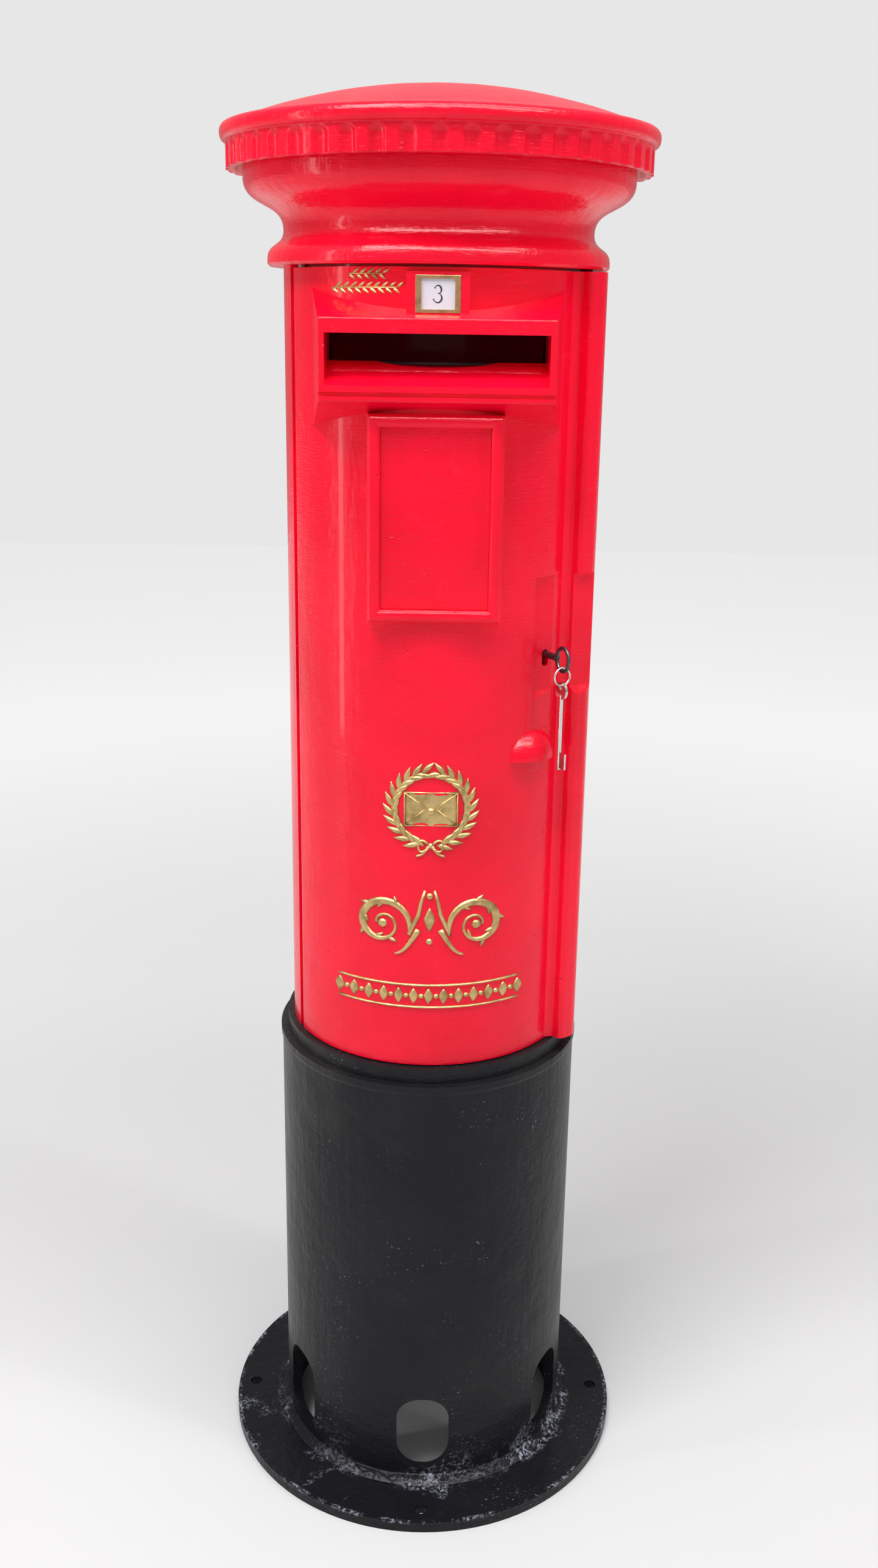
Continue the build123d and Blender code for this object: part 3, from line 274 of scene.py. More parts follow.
# ---------------------------------------------------------------- finishes
@dataclass(frozen=True)
class GlossPaint:
    """Thick brushed gloss paint on cast iron.

    Attributes:
        name: the material's name.
        colour: the film's usual colour.
        thin: its colour where it is thin or worn.
        bright: its colour on fresh ridges.
        roughness: gloss of a clean stretch.
        lump: depth of the casting's lumps, in metres.
        brush: depth of the brush marks, in metres.
        peel: depth of the film's orange peel, in metres.
        specular: how strongly the film reflects.
        coat: weight of the wet-looking top coat.
        bead: height of its dried beads, in metres.
        pit: depth of its pinholes, in metres.
        glint_level: height up to which the painted glints round the weld reach, in metres.
        glint_amount: how strongly the painted glints and the painted highlight are laid on.
        glint_colour: the pale blue-white colour of those painted glints and that painted
            highlight.
        upper_brown: a lighter brown mixed in patches higher up.
    """

    name: str
    colour: Colour
    thin: Colour
    bright: Colour
    roughness: float
    lump: float
    brush: float
    peel: float
    specular: float
    coat: float
    bead: float = 0.0006
    pit: float = 0.0009
    glint_level: float = 0.0
    glint_amount: float = 0.0
    glint_colour: Colour = (0.40, 0.41, 0.50, 1.0)
    upper_brown: Colour = (0.055, 0.048, 0.042, 1.0)

    def make(self) -> bpy.types.Material:
        """Builds the finish.

        Returns:
            The material.
        """
        shader = Shader(self.name)
        cloud = shader.noise(5.0, 4.0)
        patch = shader.noise(38.0, 3.0)
        tone = shader.mix(cloud.step(0.35, 0.7), self.colour, self.thin)
        tone = shader.mix(patch.step(0.62, 0.85) * 0.5, tone, self.bright)
        # The black paint gets painted glints and a painted highlight: pale blue-white flecks round
        # the weld and on the flange, and a pale line on its edge. The same mask also roughens the
        # film.
        glint_mask: Wire | float = 0.0
        if self.glint_amount:
            tone, glint_mask = self.paint_glints_and_brown(shader, tone)
        gloss = shader.noise(14.0, 3.0) * 0.14 + (self.roughness - 0.06) + glint_mask * 0.4
        shader.set(
            Base_Color=tone,
            Roughness=gloss.clamp(),
            Normal=self.relief(shader, cloud),
            Specular_IOR_Level=self.specular,
            Coat_Weight=self.coat,
            Coat_Roughness=0.07,
            Coat_IOR=1.5,
        )
        return shader.material

    def relief(self, shader: Shader, cloud: Wire) -> Wire:
        """Stacks the casting's lumps and the film's marks.

        Args:
            shader: the material's shader.
            cloud: the slow field that says where beads gather.

        Returns:
            The bumped normal.
        """
        runs = shader.noise(1.0, 3.0, 0.6, shader.stretched((70.0, 70.0, 9.0)))
        strokes = shader.noise(1.0, 2.0, 0.5, shader.stretched((60.0, 60.0, 420.0)))
        beads = shader.cells(62.0, shader.stretched((1.0, 1.0, 1.6))).step(0.16, 0.02)
        peel = shader.noise(150.0, 2.0, 0.5, shader.stretched((1.0, 1.0, 0.55)))
        pits = shader.cells(46.0).step(0.10, 0.03) * shader.noise(12.0, 1.0).step(0.50, 0.58)
        normal = shader.bump(shader.noise(24.0, 3.0), self.lump)
        for height, depth in (
            (runs, self.brush),
            (strokes, self.brush * 0.5),
            (beads * cloud.step(0.52, 0.62), self.bead),
            (peel, self.peel),
            (pits, -self.pit),
        ):
            normal = shader.bump(height, depth, normal)
        return normal

    def paint_glints_and_brown(self, shader: Shader, tone: Wire) -> tuple[Wire, Wire]:
        """Paints lighter brown patches high up, painted glints round the weld and on the flange,
        and a painted highlight along the flange's edge.

        Args:
            shader: the material's shader.
            tone: the clean film's colour.

        Returns:
            The colour with its painted glints and painted highlight, and the mask of them.
        """
        height, out = shader.axis("Z"), shader.radius()
        # Painted glints: a ragged ring of pale flecks round the weld, low down.
        low = height.step(self.glint_level * 2.2, self.glint_level * 0.4)
        inner = out.step(ROOT_RADIUS - 0.0030, ROOT_RADIUS + 0.0010)
        outer = out.step(ROOT_RADIUS + 0.0215, ROOT_RADIUS + 0.0105)
        broad = shader.noise(8.0, 2.0).step(0.38, 0.56)
        weld = inner * outer * low * broad
        # Painted highlight: a pale line along the top edge of the flange.
        rim = out.step(FLANGE_RADIUS - 0.0065, FLANGE_RADIUS - 0.0035)
        edge = rim * height.step(FLANGE_TOP - 0.0040, FLANGE_TOP - 0.0010)
        # Painted glints: pale patches on the flange's top.
        clear = out.step(ROOT_RADIUS + 0.0125, ROOT_RADIUS + 0.0225)
        top = clear * height.step(FLANGE_TOP - 0.0020, FLANGE_TOP - 0.0005)
        flat = top * shader.noise(17.0, 3.0).step(0.57, 0.68)
        ragged = shader.noise(30.0, 4.0, 0.7).step(0.44, 0.60)
        flecks = shader.noise(190.0, 4.0, 0.72).step(0.47, 0.58)
        # All the painted glints and the painted highlight, broken into flecks.
        line = (weld + edge * 0.8 + flat * 0.8).clamp() * ragged * flecks
        # Painted glints: fine pale specks scattered over the whole film.
        dense = shader.noise(11.0, 3.0).step(0.50, 0.66)
        glint_specks = shader.noise(260.0, 2.0).step(0.66, 0.72) * dense
        glint_mask = ((line + glint_specks * 0.45) * self.glint_amount).clamp()
        # A lighter brown mixed in patches, from 0.10 m up.
        brown = shader.noise(3.2, 4.0).step(0.48, 0.74) * height.step(0.10, 0.35) * 0.55
        return shader.mix(glint_mask, shader.mix(brown, tone, self.upper_brown), self.glint_colour), glint_mask


@dataclass(frozen=True)
class Metal:
    """A bare or plated metal with handling marks.

    Attributes:
        name: the material's name.
        colour: its clean colour.
        tarnish: its colour in the dull patches.
        roughness: its usual roughness.
        metallic: how metallic it is.
        grain: depth of its surface grain, in metres.
    """

    name: str
    colour: Colour
    tarnish: Colour
    roughness: float
    metallic: float = 1.0
    grain: float = 0.00008

    def make(self) -> bpy.types.Material:
        """Builds the finish.

        Returns:
            The material.
        """
        shader = Shader(self.name)
        patch = shader.noise(60.0, 4.0)
        fine = shader.noise(900.0, 2.0)
        tone = shader.mix(patch.step(0.40, 0.72), self.colour, self.tarnish)
        rough = patch * 0.22 + fine * 0.08 + (self.roughness - 0.14)
        grain = shader.bump(fine, self.grain)
        normal = shader.bump(shader.noise(130.0, 3.0), self.grain * 3, onto=grain)
        shader.set(Base_Color=tone, Roughness=rough.clamp(), Metallic=self.metallic, Normal=normal)
        return shader.material


class Finish(Enum):
    """The finishes of the box."""

    RED = GlossPaint(
        "pillar_red_gloss",
        colour=(0.96, 0.0022, 0.031, 1.0),
        thin=(0.80, 0.0018, 0.022, 1.0),
        bright=(0.97, 0.018, 0.060, 1.0),
        roughness=0.24,
        lump=0.0018,
        brush=0.0011,
        peel=0.0005,
        specular=0.19,
        coat=0.20,
    )
    BLACK = GlossPaint(
        "root_black_gloss",
        colour=(0.0085, 0.0088, 0.0115, 1.0),
        thin=(0.0125, 0.0125, 0.0150, 1.0),
        bright=(0.024, 0.025, 0.033, 1.0),
        roughness=0.34,
        lump=0.0030,
        brush=0.0014,
        peel=0.0006,
        specular=0.13,
        coat=0.06,
        # Painted glints and a painted highlight round the weld and on the flange.
        glint_level=0.036,
        glint_amount=0.9,
    )
    GOLD = Metal(
        "gilt_paint", (0.60, 0.44, 0.19, 1.0), (0.34, 0.23, 0.09, 1.0), 0.36, 0.80, 0.0002
    )
    BRASS = Metal("tab_brass", (0.60, 0.36, 0.17, 1.0), (0.33, 0.17, 0.09, 1.0), 0.34)
    BRONZE = Metal("lock_bronze", (0.50, 0.34, 0.16, 1.0), (0.30, 0.19, 0.10, 1.0), 0.38)
    STEEL = Metal("oiled_steel", (0.34, 0.33, 0.32, 1.0), (0.16, 0.14, 0.13, 1.0), 0.40)
    DARK = Metal("handled_dark_steel", (0.11, 0.11, 0.12, 1.0), (0.05, 0.05, 0.05, 1.0), 0.36)
    NICKEL = Metal("polished_nickel", (0.72, 0.71, 0.68, 1.0), (0.50, 0.48, 0.44, 1.0), 0.20)
    ZINC = Metal("dull_zinc", (0.40, 0.41, 0.42, 1.0), (0.24, 0.25, 0.26, 1.0), 0.48)
    # Painted shade: near-black paint on the chute and its hooks, standing for the dark inside the
    # letter slot.
    SLOT_SHADE_BLACK = Metal("painted_slot_shade", (0.004, 0.004, 0.004, 1.0), (0.006, 0.006, 0.006, 1.0), 0.85, 0.0)
    ENAMEL = Metal(
        "tab_enamel", (0.74, 0.71, 0.80, 1.0), (0.62, 0.58, 0.68, 1.0), 0.30, 0.0, 0.00003
    )
    NUMERAL = Metal("numeral_enamel", (0.03, 0.03, 0.04, 1.0), (0.05, 0.05, 0.06, 1.0), 0.35, 0.0)

    def dress(self, thing: bpy.types.Object) -> None:
        """Gives the finish to an object, in its only slot."""
        material = bpy.data.materials.get(self.value.name) or self.value.make()
        thing.data.materials.clear()
        thing.data.materials.append(material)


CAD_FINISHES: dict[Finish, str] = {
    Finish.RED: "carcase cornice cap door notice_plate",
    Finish.BLACK: "plinth",
    Finish.GOLD: "gilt_wreath gilt_envelope gilt_scrolls gilt_band gilt_sprig",
    Finish.BRASS: "tab_frame",
    Finish.BRONZE: "lock_case lock_cover lock_bolt levers hinge_bushes hinge_washer",
    Finish.STEEL: "cap_studs base_bolts base_nuts crown_bolts crown_nuts hinge_pintles "
    "strike_plate strike_screws chute_screws lock_screws lever_pivot",
    Finish.DARK: "key",
    Finish.NICKEL: "key_ring spare_key",
    Finish.ZINC: "floor_plate letter_guard",
    # Painted shade: the chute and its hooks are made near-black for the dark inside the slot.
    Finish.SLOT_SHADE_BLACK: "chute guard_hooks",
    Finish.ENAMEL: "collection_tab",
}


# ---------------------------------------------------------------- geometry nodes
class Tree:
    """A geometry node tree with named inputs."""

    def __init__(self, name: str, inputs: tuple[tuple[str, str], ...]) -> None:
        """Makes the tree.

        Args:
            name: the tree's name.
            inputs: the name and the socket type of each input.
        """
        self.tree = bpy.data.node_groups.new(name, "GeometryNodeTree")
        for label, kind in inputs:
            self.tree.interface.new_socket(name=label, in_out="INPUT", socket_type=kind)
        self.tree.interface.new_socket(
            name="Geometry", in_out="OUTPUT", socket_type="NodeSocketGeometry"
        )
        self.entry = self.tree.nodes.new("NodeGroupInput")
        self.exit = self.tree.nodes.new("NodeGroupOutput")

    def add(
        self, kind: str, settings: dict[str, object], inputs: dict[int | str, object]
    ) -> bpy.types.Node:
        """Adds a node.

        Args:
            kind: the node's type.
            settings: its properties, set first.
            inputs: values or sockets for its inputs.

        Returns:
            The node.
        """
        made = self.tree.nodes.new(kind)
        for key, value in settings.items():
            setattr(made, key, value)
        for key, value in inputs.items():
            if isinstance(value, bpy.types.NodeSocket):
                self.tree.links.new(value, made.inputs[key])
            else:
                made.inputs[key].default_value = value
        return made

    def maths(self, operation: str, *values: object) -> bpy.types.NodeSocket:
        """Adds a Math node and returns its output."""
        made = self.add("ShaderNodeMath", {"operation": operation}, dict(enumerate(values)))
        return made.outputs[0]

    def close(self, geometry: bpy.types.NodeSocket) -> None:
        """Realizes the instances, sets the material and ends the tree.

        Args:
            geometry: what comes out of the last node.
        """
        real = self.add("GeometryNodeRealizeInstances", {}, {"Geometry": geometry})
        dressed = self.add(
            "GeometryNodeSetMaterial",
            {},
            {"Geometry": real.outputs[0], "Material": self.entry.outputs["Material"]},
        )
        self.tree.links.new(dressed.outputs[0], self.exit.inputs[0])

    def bake(self, name: str, values: dict[str, object]) -> bpy.types.Object:
        """Runs the tree once.

        Args:
            name: the new object's name.
            values: a value for each named input.

        Returns:
            An object with the plain mesh that comes out.
        """
        host = bpy.data.objects.new(name + "_host", bpy.data.meshes.new(name + "_host"))
        bpy.context.scene.collection.objects.link(host)
        modifier = host.modifiers.new(name, "NODES")
        modifier.node_group = self.tree
        for item in self.tree.interface.items_tree:
            if item.item_type == "SOCKET" and item.in_out == "INPUT" and item.name in values:
                modifier[item.identifier] = values[item.name]
        bpy.context.view_layer.update()
        graph = bpy.context.evaluated_depsgraph_get()
        mesh = bpy.data.meshes.new_from_object(host.evaluated_get(graph))
        bpy.data.objects.remove(host)
        thing = bpy.data.objects.new(name, mesh)
        bpy.context.scene.collection.objects.link(thing)
        return thing


def garland_tree() -> Tree:
    """A tree that sets a piece along a path at even steps.

    Returns:
        The tree. Every other piece tilts the other way, so that leaves fan out in pairs.
    """
    made = Tree(
        "garland",
        (
            ("Path", "NodeSocketObject"),
            ("Piece", "NodeSocketObject"),
            ("Count", "NodeSocketInt"),
            ("Tilt", "NodeSocketFloat"),
            ("Material", "NodeSocketMaterial"),
        ),
    )
    path = made.add("GeometryNodeObjectInfo", {}, {"Object": made.entry.outputs["Path"]})
    piece = made.add("GeometryNodeObjectInfo", {}, {"Object": made.entry.outputs["Piece"]})
    points = made.add(
        "GeometryNodeCurveToPoints",
        {"mode": "COUNT"},
        {"Curve": path.outputs["Geometry"], "Count": made.entry.outputs["Count"]},
    )
    along = made.add(
        "FunctionNodeAlignRotationToVector",
        {"axis": "X", "pivot_axis": "Z"},
        {"Vector": points.outputs["Tangent"]},
    )
    index = made.add("GeometryNodeInputIndex", {}, {})
    parity = made.maths("MODULO", index.outputs[0], 2.0)
    sign = made.maths("MULTIPLY_ADD", parity, 2.0, -1.0)
    angle = made.maths("MULTIPLY", sign, made.entry.outputs["Tilt"])
    tilt = made.add(
        "FunctionNodeAxisAngleToRotation", {}, {"Axis": (0.0, 0.0, 1.0), "Angle": angle}
    )
    turned = made.add(
        "FunctionNodeRotateRotation",
        {"rotation_space": "LOCAL"},
        {"Rotation": along.outputs[0], "Rotate By": tilt.outputs[0]},
    )
    placed = made.add(
        "GeometryNodeInstanceOnPoints",
        {},
        {
            "Points": points.outputs["Points"],
            "Instance": piece.outputs["Geometry"],
            "Rotation": turned.outputs[0],
        },
    )
    made.close(placed.outputs[0])
    return made


# ---------------------------------------------------------------- mesh helpers
def mesh_object(name: str, form: bmesh.types.BMesh) -> bpy.types.Object:
    """Turns a finished bmesh into a smooth-shaded object.

    Args:
        name: the object's name.
        form: the bmesh, which is freed.

    Returns:
        The object, in the scene.
    """
    bmesh.ops.remove_doubles(form, verts=form.verts, dist=1e-6)
    bmesh.ops.recalc_face_normals(form, faces=form.faces)
    mesh = bpy.data.meshes.new(name)
    form.to_mesh(mesh)
    form.free()
    mesh.polygons.foreach_set("use_smooth", [True] * len(mesh.polygons))
    thing = bpy.data.objects.new(name, mesh)
    bpy.context.scene.collection.objects.link(thing)
    return thing


def bridge(
    form: bmesh.types.BMesh, rings: list[list[bmesh.types.BMVert]], ends: bool = False
) -> None:
    """Joins each ring of vertices to the next with four-sided faces.

    Args:
        form: the bmesh of the rings.
        rings: rings of equally many vertices.
        ends: whether the first and the last ring are closed too.
    """
    for low, high in zip(rings, rings[1:]):
        for k in range(len(low)):
            n = (k + 1) % len(low)
            form.faces.new((low[k], low[n], high[n], high[k]))
    if ends:
        form.faces.new(rings[0])
        form.faces.new(list(reversed(rings[-1])))


def path_object(name: str, points: list[Point]) -> bpy.types.Object:
    """A curve of straight runs from point to point.

    Args:
        name: the object's name.
        points: its corners.

    Returns:
        The object, in the scene.
    """
    data = bpy.data.curves.new(name, "CURVE")
    data.dimensions = "3D"
    spline = data.splines.new("POLY")
    spline.points.add(len(points) - 1)
    for slot, point in zip(spline.points, points):
        slot.co = (*point, 1.0)
    thing = bpy.data.objects.new(name, data)
    bpy.context.scene.collection.objects.link(thing)
    return thing


def leaf_form(length: float, width: float, height: float) -> bpy.types.Object:
    """A pointed leaf with a raised midrib, from the origin along +X.

    Args:
        length: from its stalk to its tip.
        width: at its widest.
        height: of its midrib.

    Returns:
        The leaf.
    """
    form = bmesh.new()
    section = ((-1.0, 0.0), (-0.6, 0.62), (0.0, 1.0), (0.6, 0.62), (1.0, 0.0))
    rows = []
    for t in (i / 8 for i in range(9)):
        half = 0.5 * width * math.sin(math.pi * t**0.8) + 0.0002
        lift = height * (0.35 + 0.65 * math.sin(math.pi * (0.08 + 0.84 * t)))
        places = [(length * t, side * half, up * lift) for side, up in section]
        rows.append([form.verts.new(place) for place in places])
    bridge(form, rows, ends=True)
    return mesh_object("leaf", form)


def dome_form(across: float, along: float, height: float, square: float = 2.0) -> bpy.types.Object:
    """A raised cushion on a flat base.

    Args:
        across: half its size along Y.
        along: half its size along X.
        height: how far it stands up.
        square: 2 for an ellipse, more for squarer corners.

    Returns:
        The cushion.
    """
    form = bmesh.new()
    around, rings = 20, 4
    loops = []
    for r in range(rings):
        share = math.cos(0.5 * math.pi * r / rings)
        lift = height * math.sin(0.5 * math.pi * r / rings)
        loop = []
        for k in range(around):
            a = 2 * math.pi * k / around
            c, s = math.cos(a), math.sin(a)
            x = along * share * math.copysign(abs(c) ** (2 / square), c)
            y = across * share * math.copysign(abs(s) ** (2 / square), s)
            loop.append(form.verts.new((x, y, lift)))
        loops.append(loop)
    crown = form.verts.new((0.0, 0.0, height))
    bridge(form, loops)
    for k in range(around):
        form.faces.new((loops[-1][k], loops[-1][(k + 1) % around], crown))
    form.faces.new(list(reversed(loops[0])))
    return mesh_object("cushion", form)


def ribbon(
    form: bmesh.types.BMesh, points: list[Point], widths: list[float], height: float
) -> None:
    """Adds a rounded raised stroke along flat points.

    Args:
        form: the bmesh that it joins.
        points: the stroke's middle line.
        widths: its width at each point.
        height: how far it stands up.
    """
    sides = 6
    rows = []
    for i, point in enumerate(points):
        before = Vector(points[max(i - 1, 0)])
        after = Vector(points[min(i + 1, len(points) - 1)])
        side = (after - before).cross(Vector((0, 0, 1))).normalized()
        lift = height * min(1.0, 0.35 + widths[i] / max(widths))
        row = []
        for j in range(sides + 1):
            a = math.pi * j / sides
            offset = side * (0.5 * widths[i] * math.cos(a))
            row.append(form.verts.new(Vector(point) + offset + Vector((0, 0, lift * math.sin(a)))))
        rows.append(row)
    bridge(form, rows, ends=True)


def join(name: str, parts: list[bpy.types.Object]) -> bpy.types.Object:
    """Joins flat forms into one new object and removes them.

    Args:
        name: the new object's name.
        parts: the forms, in order.

    Returns:
        The new object.
    """
    form = bmesh.new()
    for part in parts:
        form.from_mesh(part.data)
        bpy.data.objects.remove(part)
    return mesh_object(name, form)


def moved(thing: bpy.types.Object, matrix: Matrix) -> bpy.types.Object:
    """Applies a transform to an object's mesh."""
    thing.data.transform(matrix)
    return thing


def boss(radius: float, height: float, x: float, y: float) -> bpy.types.Object:
    """A small round cushion at a flat place."""
    return moved(dome_form(radius, radius, height), Matrix.Translation((x, y, 0.0)))


# ---------------------------------------------------------------- gilt reliefs
@dataclass
class GiltRelief:
    """Cast gilt ornaments on the door, made flat and then wrapped round it.

    Attributes:
        skin: the door's outer radius.
        height: how far a relief stands up.
        sink: how far its back goes into the paint.
        leaf_room: how far the wreath's leaves reach out from their branch.
    """

    skin: float
    height: float = 0.0036
    sink: float = 0.0006
    leaf_room: float = 0.012

    def wrap(self, thing: bpy.types.Object, middle: float, level: float) -> bpy.types.Object:
        """Wraps a flat form round the door.

        Args:
            thing: the form, with X across, Y up and Z out.
            middle: the X of its middle.
            level: the height of its middle.

        Returns:
            The same object, in place.
        """
        for vertex in thing.data.vertices:
            x, up, out = vertex.co
            angle = math.asin((x + middle) / self.skin)
            radius = self.skin + out - self.sink
            vertex.co = (radius * math.sin(angle), -radius * math.cos(angle), level + up)
        return thing

    def garland(
        self, path: bpy.types.Object, piece: bpy.types.Object, count: int, tilt: float
    ) -> bpy.types.Object:
        """Sets a piece along a path and removes both.

        Args:
            path: the curve.
            piece: the form to repeat.
            count: how many.
            tilt: how far each leans from the path, in radians, one way and the other.

        Returns:
            The row of pieces.
        """
        values = {"Path": path, "Piece": piece, "Count": count, "Tilt": tilt}
        values["Material"] = bpy.data.materials[Finish.GOLD.value.name]
        row = garland_tree().bake("garland", values)
        bpy.data.objects.remove(path)
        bpy.data.objects.remove(piece)
        return row

    def wreath(self, radius: float) -> bpy.types.Object:
        """Two laurel branches that meet at the top, tied at the foot with a bow.

        Args:
            radius: of the branches' circle.

        Returns:
            The flat form.
        """
        parts = []
        turns = [math.radians(10 + 6 * k) for k in range(27)]
        for side in (-1, 1):
            arc = [(side * radius * math.sin(a), -radius * math.cos(a), 0.0) for a in turns]
            leaf = leaf_form(0.021, 0.0085, self.height)
            parts.append(self.garland(path_object("branch", arc), leaf, 22, 0.48))
            stem = bmesh.new()
            ribbon(stem, arc, [0.0030] * len(arc), 0.6 * self.height)
            parts.append(mesh_object("stem", stem))
        bow = bmesh.new()
        for side in (-1, 1):
            loop = [
                (side * 0.013 * math.sin(t) * 1.2, -radius + 0.0075 * math.sin(2 * t), 0.0)
                for t in (math.pi * k / 16 for k in range(1, 16))
            ]
            ribbon(bow, loop, [0.0032] * len(loop), self.height)
            tail = [
                (side * (0.002 + 0.016 * t), -radius - 0.013 * t - 0.004 * math.sin(3 * t), 0.0)
                for t in (k / 8 for k in range(9))
            ]
            widths = [0.0045 - 0.0015 * k / 8 for k in range(9)]
            ribbon(bow, tail, widths, 0.8 * self.height)
        parts.append(mesh_object("bow", bow))
        parts.append(boss(0.004, self.height, 0.0, -radius))
        return join("gilt_wreath_relief", parts)

    def envelope(self, half_width: float, half_height: float) -> bpy.types.Object:
        """A sealed envelope with its folds raised.

        Args:
            half_width: half its width.
            half_height: half its height.

        Returns:
            The flat form.
        """
        parts = [dome_form(half_height, half_width, 0.45 * self.height, 14.0)]
        folds = bmesh.new()
        corners = ((-1, 1), (1, 1), (1, -1), (-1, -1), (-1, 1))
        rim = [(i * half_width * 0.97, j * half_height * 0.95, 0.0004) for i, j in corners]
        for start, end in zip(rim, rim[1:]):
            ribbon(folds, [start, end], [0.0026, 0.0026], 0.9 * self.height)
        tip = -half_height * 0.12
        for side in (-half_width, half_width):
            flap = [(side * 0.95, half_height * 0.92, 0.0008), (0.0, tip, 0.0008)]
            ribbon(folds, flap, [0.0026, 0.0026], self.height)
            fold = [
                (side * 0.95, -half_height * 0.92, 0.0004),
                (side * 0.22, half_height * 0.02, 0.0004),
            ]
            ribbon(folds, fold, [0.0020, 0.0020], 0.8 * self.height)
        parts.append(mesh_object("folds", folds))
        parts.append(boss(0.0052, 1.15 * self.height, 0.0, tip))
        return join("gilt_envelope_relief", parts)

    def scrolls(self, reach: float, rise: float) -> bpy.types.Object:
        """A pair of leafy scrolls back to back, with a lozenge between them.

        Args:
            reach: from the middle to the outer edge.
            rise: half the height.

        Returns:
            The flat form.
        """
        parts = []
        strokes = bmesh.new()
        for side in (-1, 1):
            centre = Vector((side * (reach - 0.036), -0.006, 0))
            spiral = []
            for k in range(46):
                t = k / 45
                a = math.radians(200 - 560 * t)
                r = 0.036 * (1 - 0.80 * t)
                spiral.append((centre.x + side * r * math.cos(a), centre.y + r * math.sin(a), 0.0))
            line = [
                (side * 0.006, rise - 0.004, 0.0),
                (side * 0.011, rise * 0.55, 0.0),
                (side * 0.014, rise * 0.2, 0.0),
            ] + spiral
            widths = [
                0.004 + 0.007 * math.sin(math.pi * min(1.0, k / (0.62 * len(line))))
                for k in range(len(line))
            ]
            ribbon(strokes, line, widths, self.height)
            foot = []
            for t in (k / 10 for k in range(11)):
                drop = 0.25 + 0.75 * math.sin(0.5 * math.pi * t)
                foot.append((side * (0.014 + 0.030 * t), -rise * drop, 0.0))
            ribbon(strokes, foot, [0.0085 - 0.0055 * k / 10 for k in range(11)], self.height)
            path = path_object("edge", spiral[6:26])
            parts.append(self.garland(path, leaf_form(0.013, 0.0062, self.height), 7, 0.85))
            parts.append(boss(0.0062, 1.1 * self.height, centre.x, centre.y))
        parts.append(mesh_object("strokes", strokes))
        lozenge = dome_form(0.017, 0.0075, self.height, 1.2)
        parts.append(moved(lozenge, Matrix.Translation((0, rise * 0.05, 0))))
        parts += [boss(0.0045, self.height, 0.0, rise * share) for share in (0.75, -0.6)]
        return join("gilt_scroll_relief", parts)

    def band(self, half_width: float, half_height: float) -> bpy.types.Object:
        """A row of upright lozenges and beads between two fillets.

        Args:
            half_width: half its width.
            half_height: half its height.

        Returns:
            The flat form.
        """
        parts = []
        row = [(-half_width * 0.94 + 2 * half_width * 0.94 * k / 40, 0.0, 0.0) for k in range(41)]
        lozenge = dome_form(half_height * 0.62, 0.0062, self.height, 1.3)
        parts.append(self.garland(path_object("row", row), lozenge, 13, 0.0))
        gap = (row[-1][0] - row[0][0]) / 24
        between = [(x + gap if x < 0 else x - gap, y, z) for x, y, z in (row[0], row[-1])]
        bead = dome_form(0.0036, 0.0036, 0.9 * self.height)
        parts.append(self.garland(path_object("between", between), bead, 12, 0.0))
        lines = bmesh.new()
        for up in (-1, 1):
            line = [(x, up * half_height * 0.86, 0.0) for x, _, _ in row]
            ribbon(lines, line, [0.0034] * len(line), 0.8 * self.height)
        parts.append(mesh_object("lines", lines))
        return join("gilt_band_relief", parts)

    def sprig(self, half_length: float) -> bpy.types.Object:
        """A straight sprig of small leaves with a shorter one above it.

        Args:
            half_length: half the longer sprig's length.

        Returns:
            The flat form.
        """
        parts = []
        for share, up, count in ((1.0, -0.0065, 18), (0.52, 0.0085, 10)):
            reach = half_length * share
            line = [(-reach + 2 * reach * k / 20, up, 0.0) for k in range(19)]
            leaf = leaf_form(0.0105, 0.0046, 0.7 * self.height)
            parts.append(self.garland(path_object("stalk", line), leaf, count, 0.66))
            stalk = bmesh.new()
            ribbon(stalk, line, [0.0020] * len(line), 0.45 * self.height)
            parts.append(mesh_object("stalk", stalk))
        return join("gilt_sprig_relief", parts)

    def build(self) -> None:
        """Makes each relief in the place of its CAD stand-in."""
        forms = {
            "gilt_wreath": lambda half_x, half_z: self.wreath(half_z - self.leaf_room),
            "gilt_envelope": lambda half_x, half_z: self.envelope(half_x, half_z),
            "gilt_scrolls": lambda half_x, half_z: self.scrolls(half_x, half_z),
            "gilt_band": lambda half_x, half_z: self.band(half_x, half_z),
            "gilt_sprig": lambda half_x, half_z: self.sprig(half_x),
        }
        for node, make in forms.items():
            low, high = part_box(node)
            form = make((high.x - low.x) / 2, (high.z - low.z) / 2)
            self.wrap(form, (high.x + low.x) / 2, (high.z + low.z) / 2)
            Finish.GOLD.dress(form)
            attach(form, "door")
            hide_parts(node)
            LOG.info("%s stands for %s", form.name, node)


# ---------------------------------------------------------------- castings
def lumpy(x: float, y: float, z: float, scale: float) -> float:
    """Smooth noise between 0 and 1 at a place.

    Args:
        x: metres.
        y: metres.
        z: metres.
        scale: features per metre.

    Returns:
        The noise.
    """
    return 0.5 + 0.5 * noise.noise(Vector((x, y, z)) * scale)


def lathe(name: str, rows: list[list[Point]], poles: bool = False) -> bpy.types.Object:
    """Closes rings of points into a solid.

    Args:
        name: the object's name.
        rows: rings of equally many points, in order round the section.
        poles: whether the first and the last ring are poles, and aren't joined.

    Returns:
        The object.
    """
    form = bmesh.new()
    rings = [[form.verts.new(co) for co in row] for row in rows]
    bridge(form, rings if poles else rings + rings[:1])
    return mesh_object(name, form)


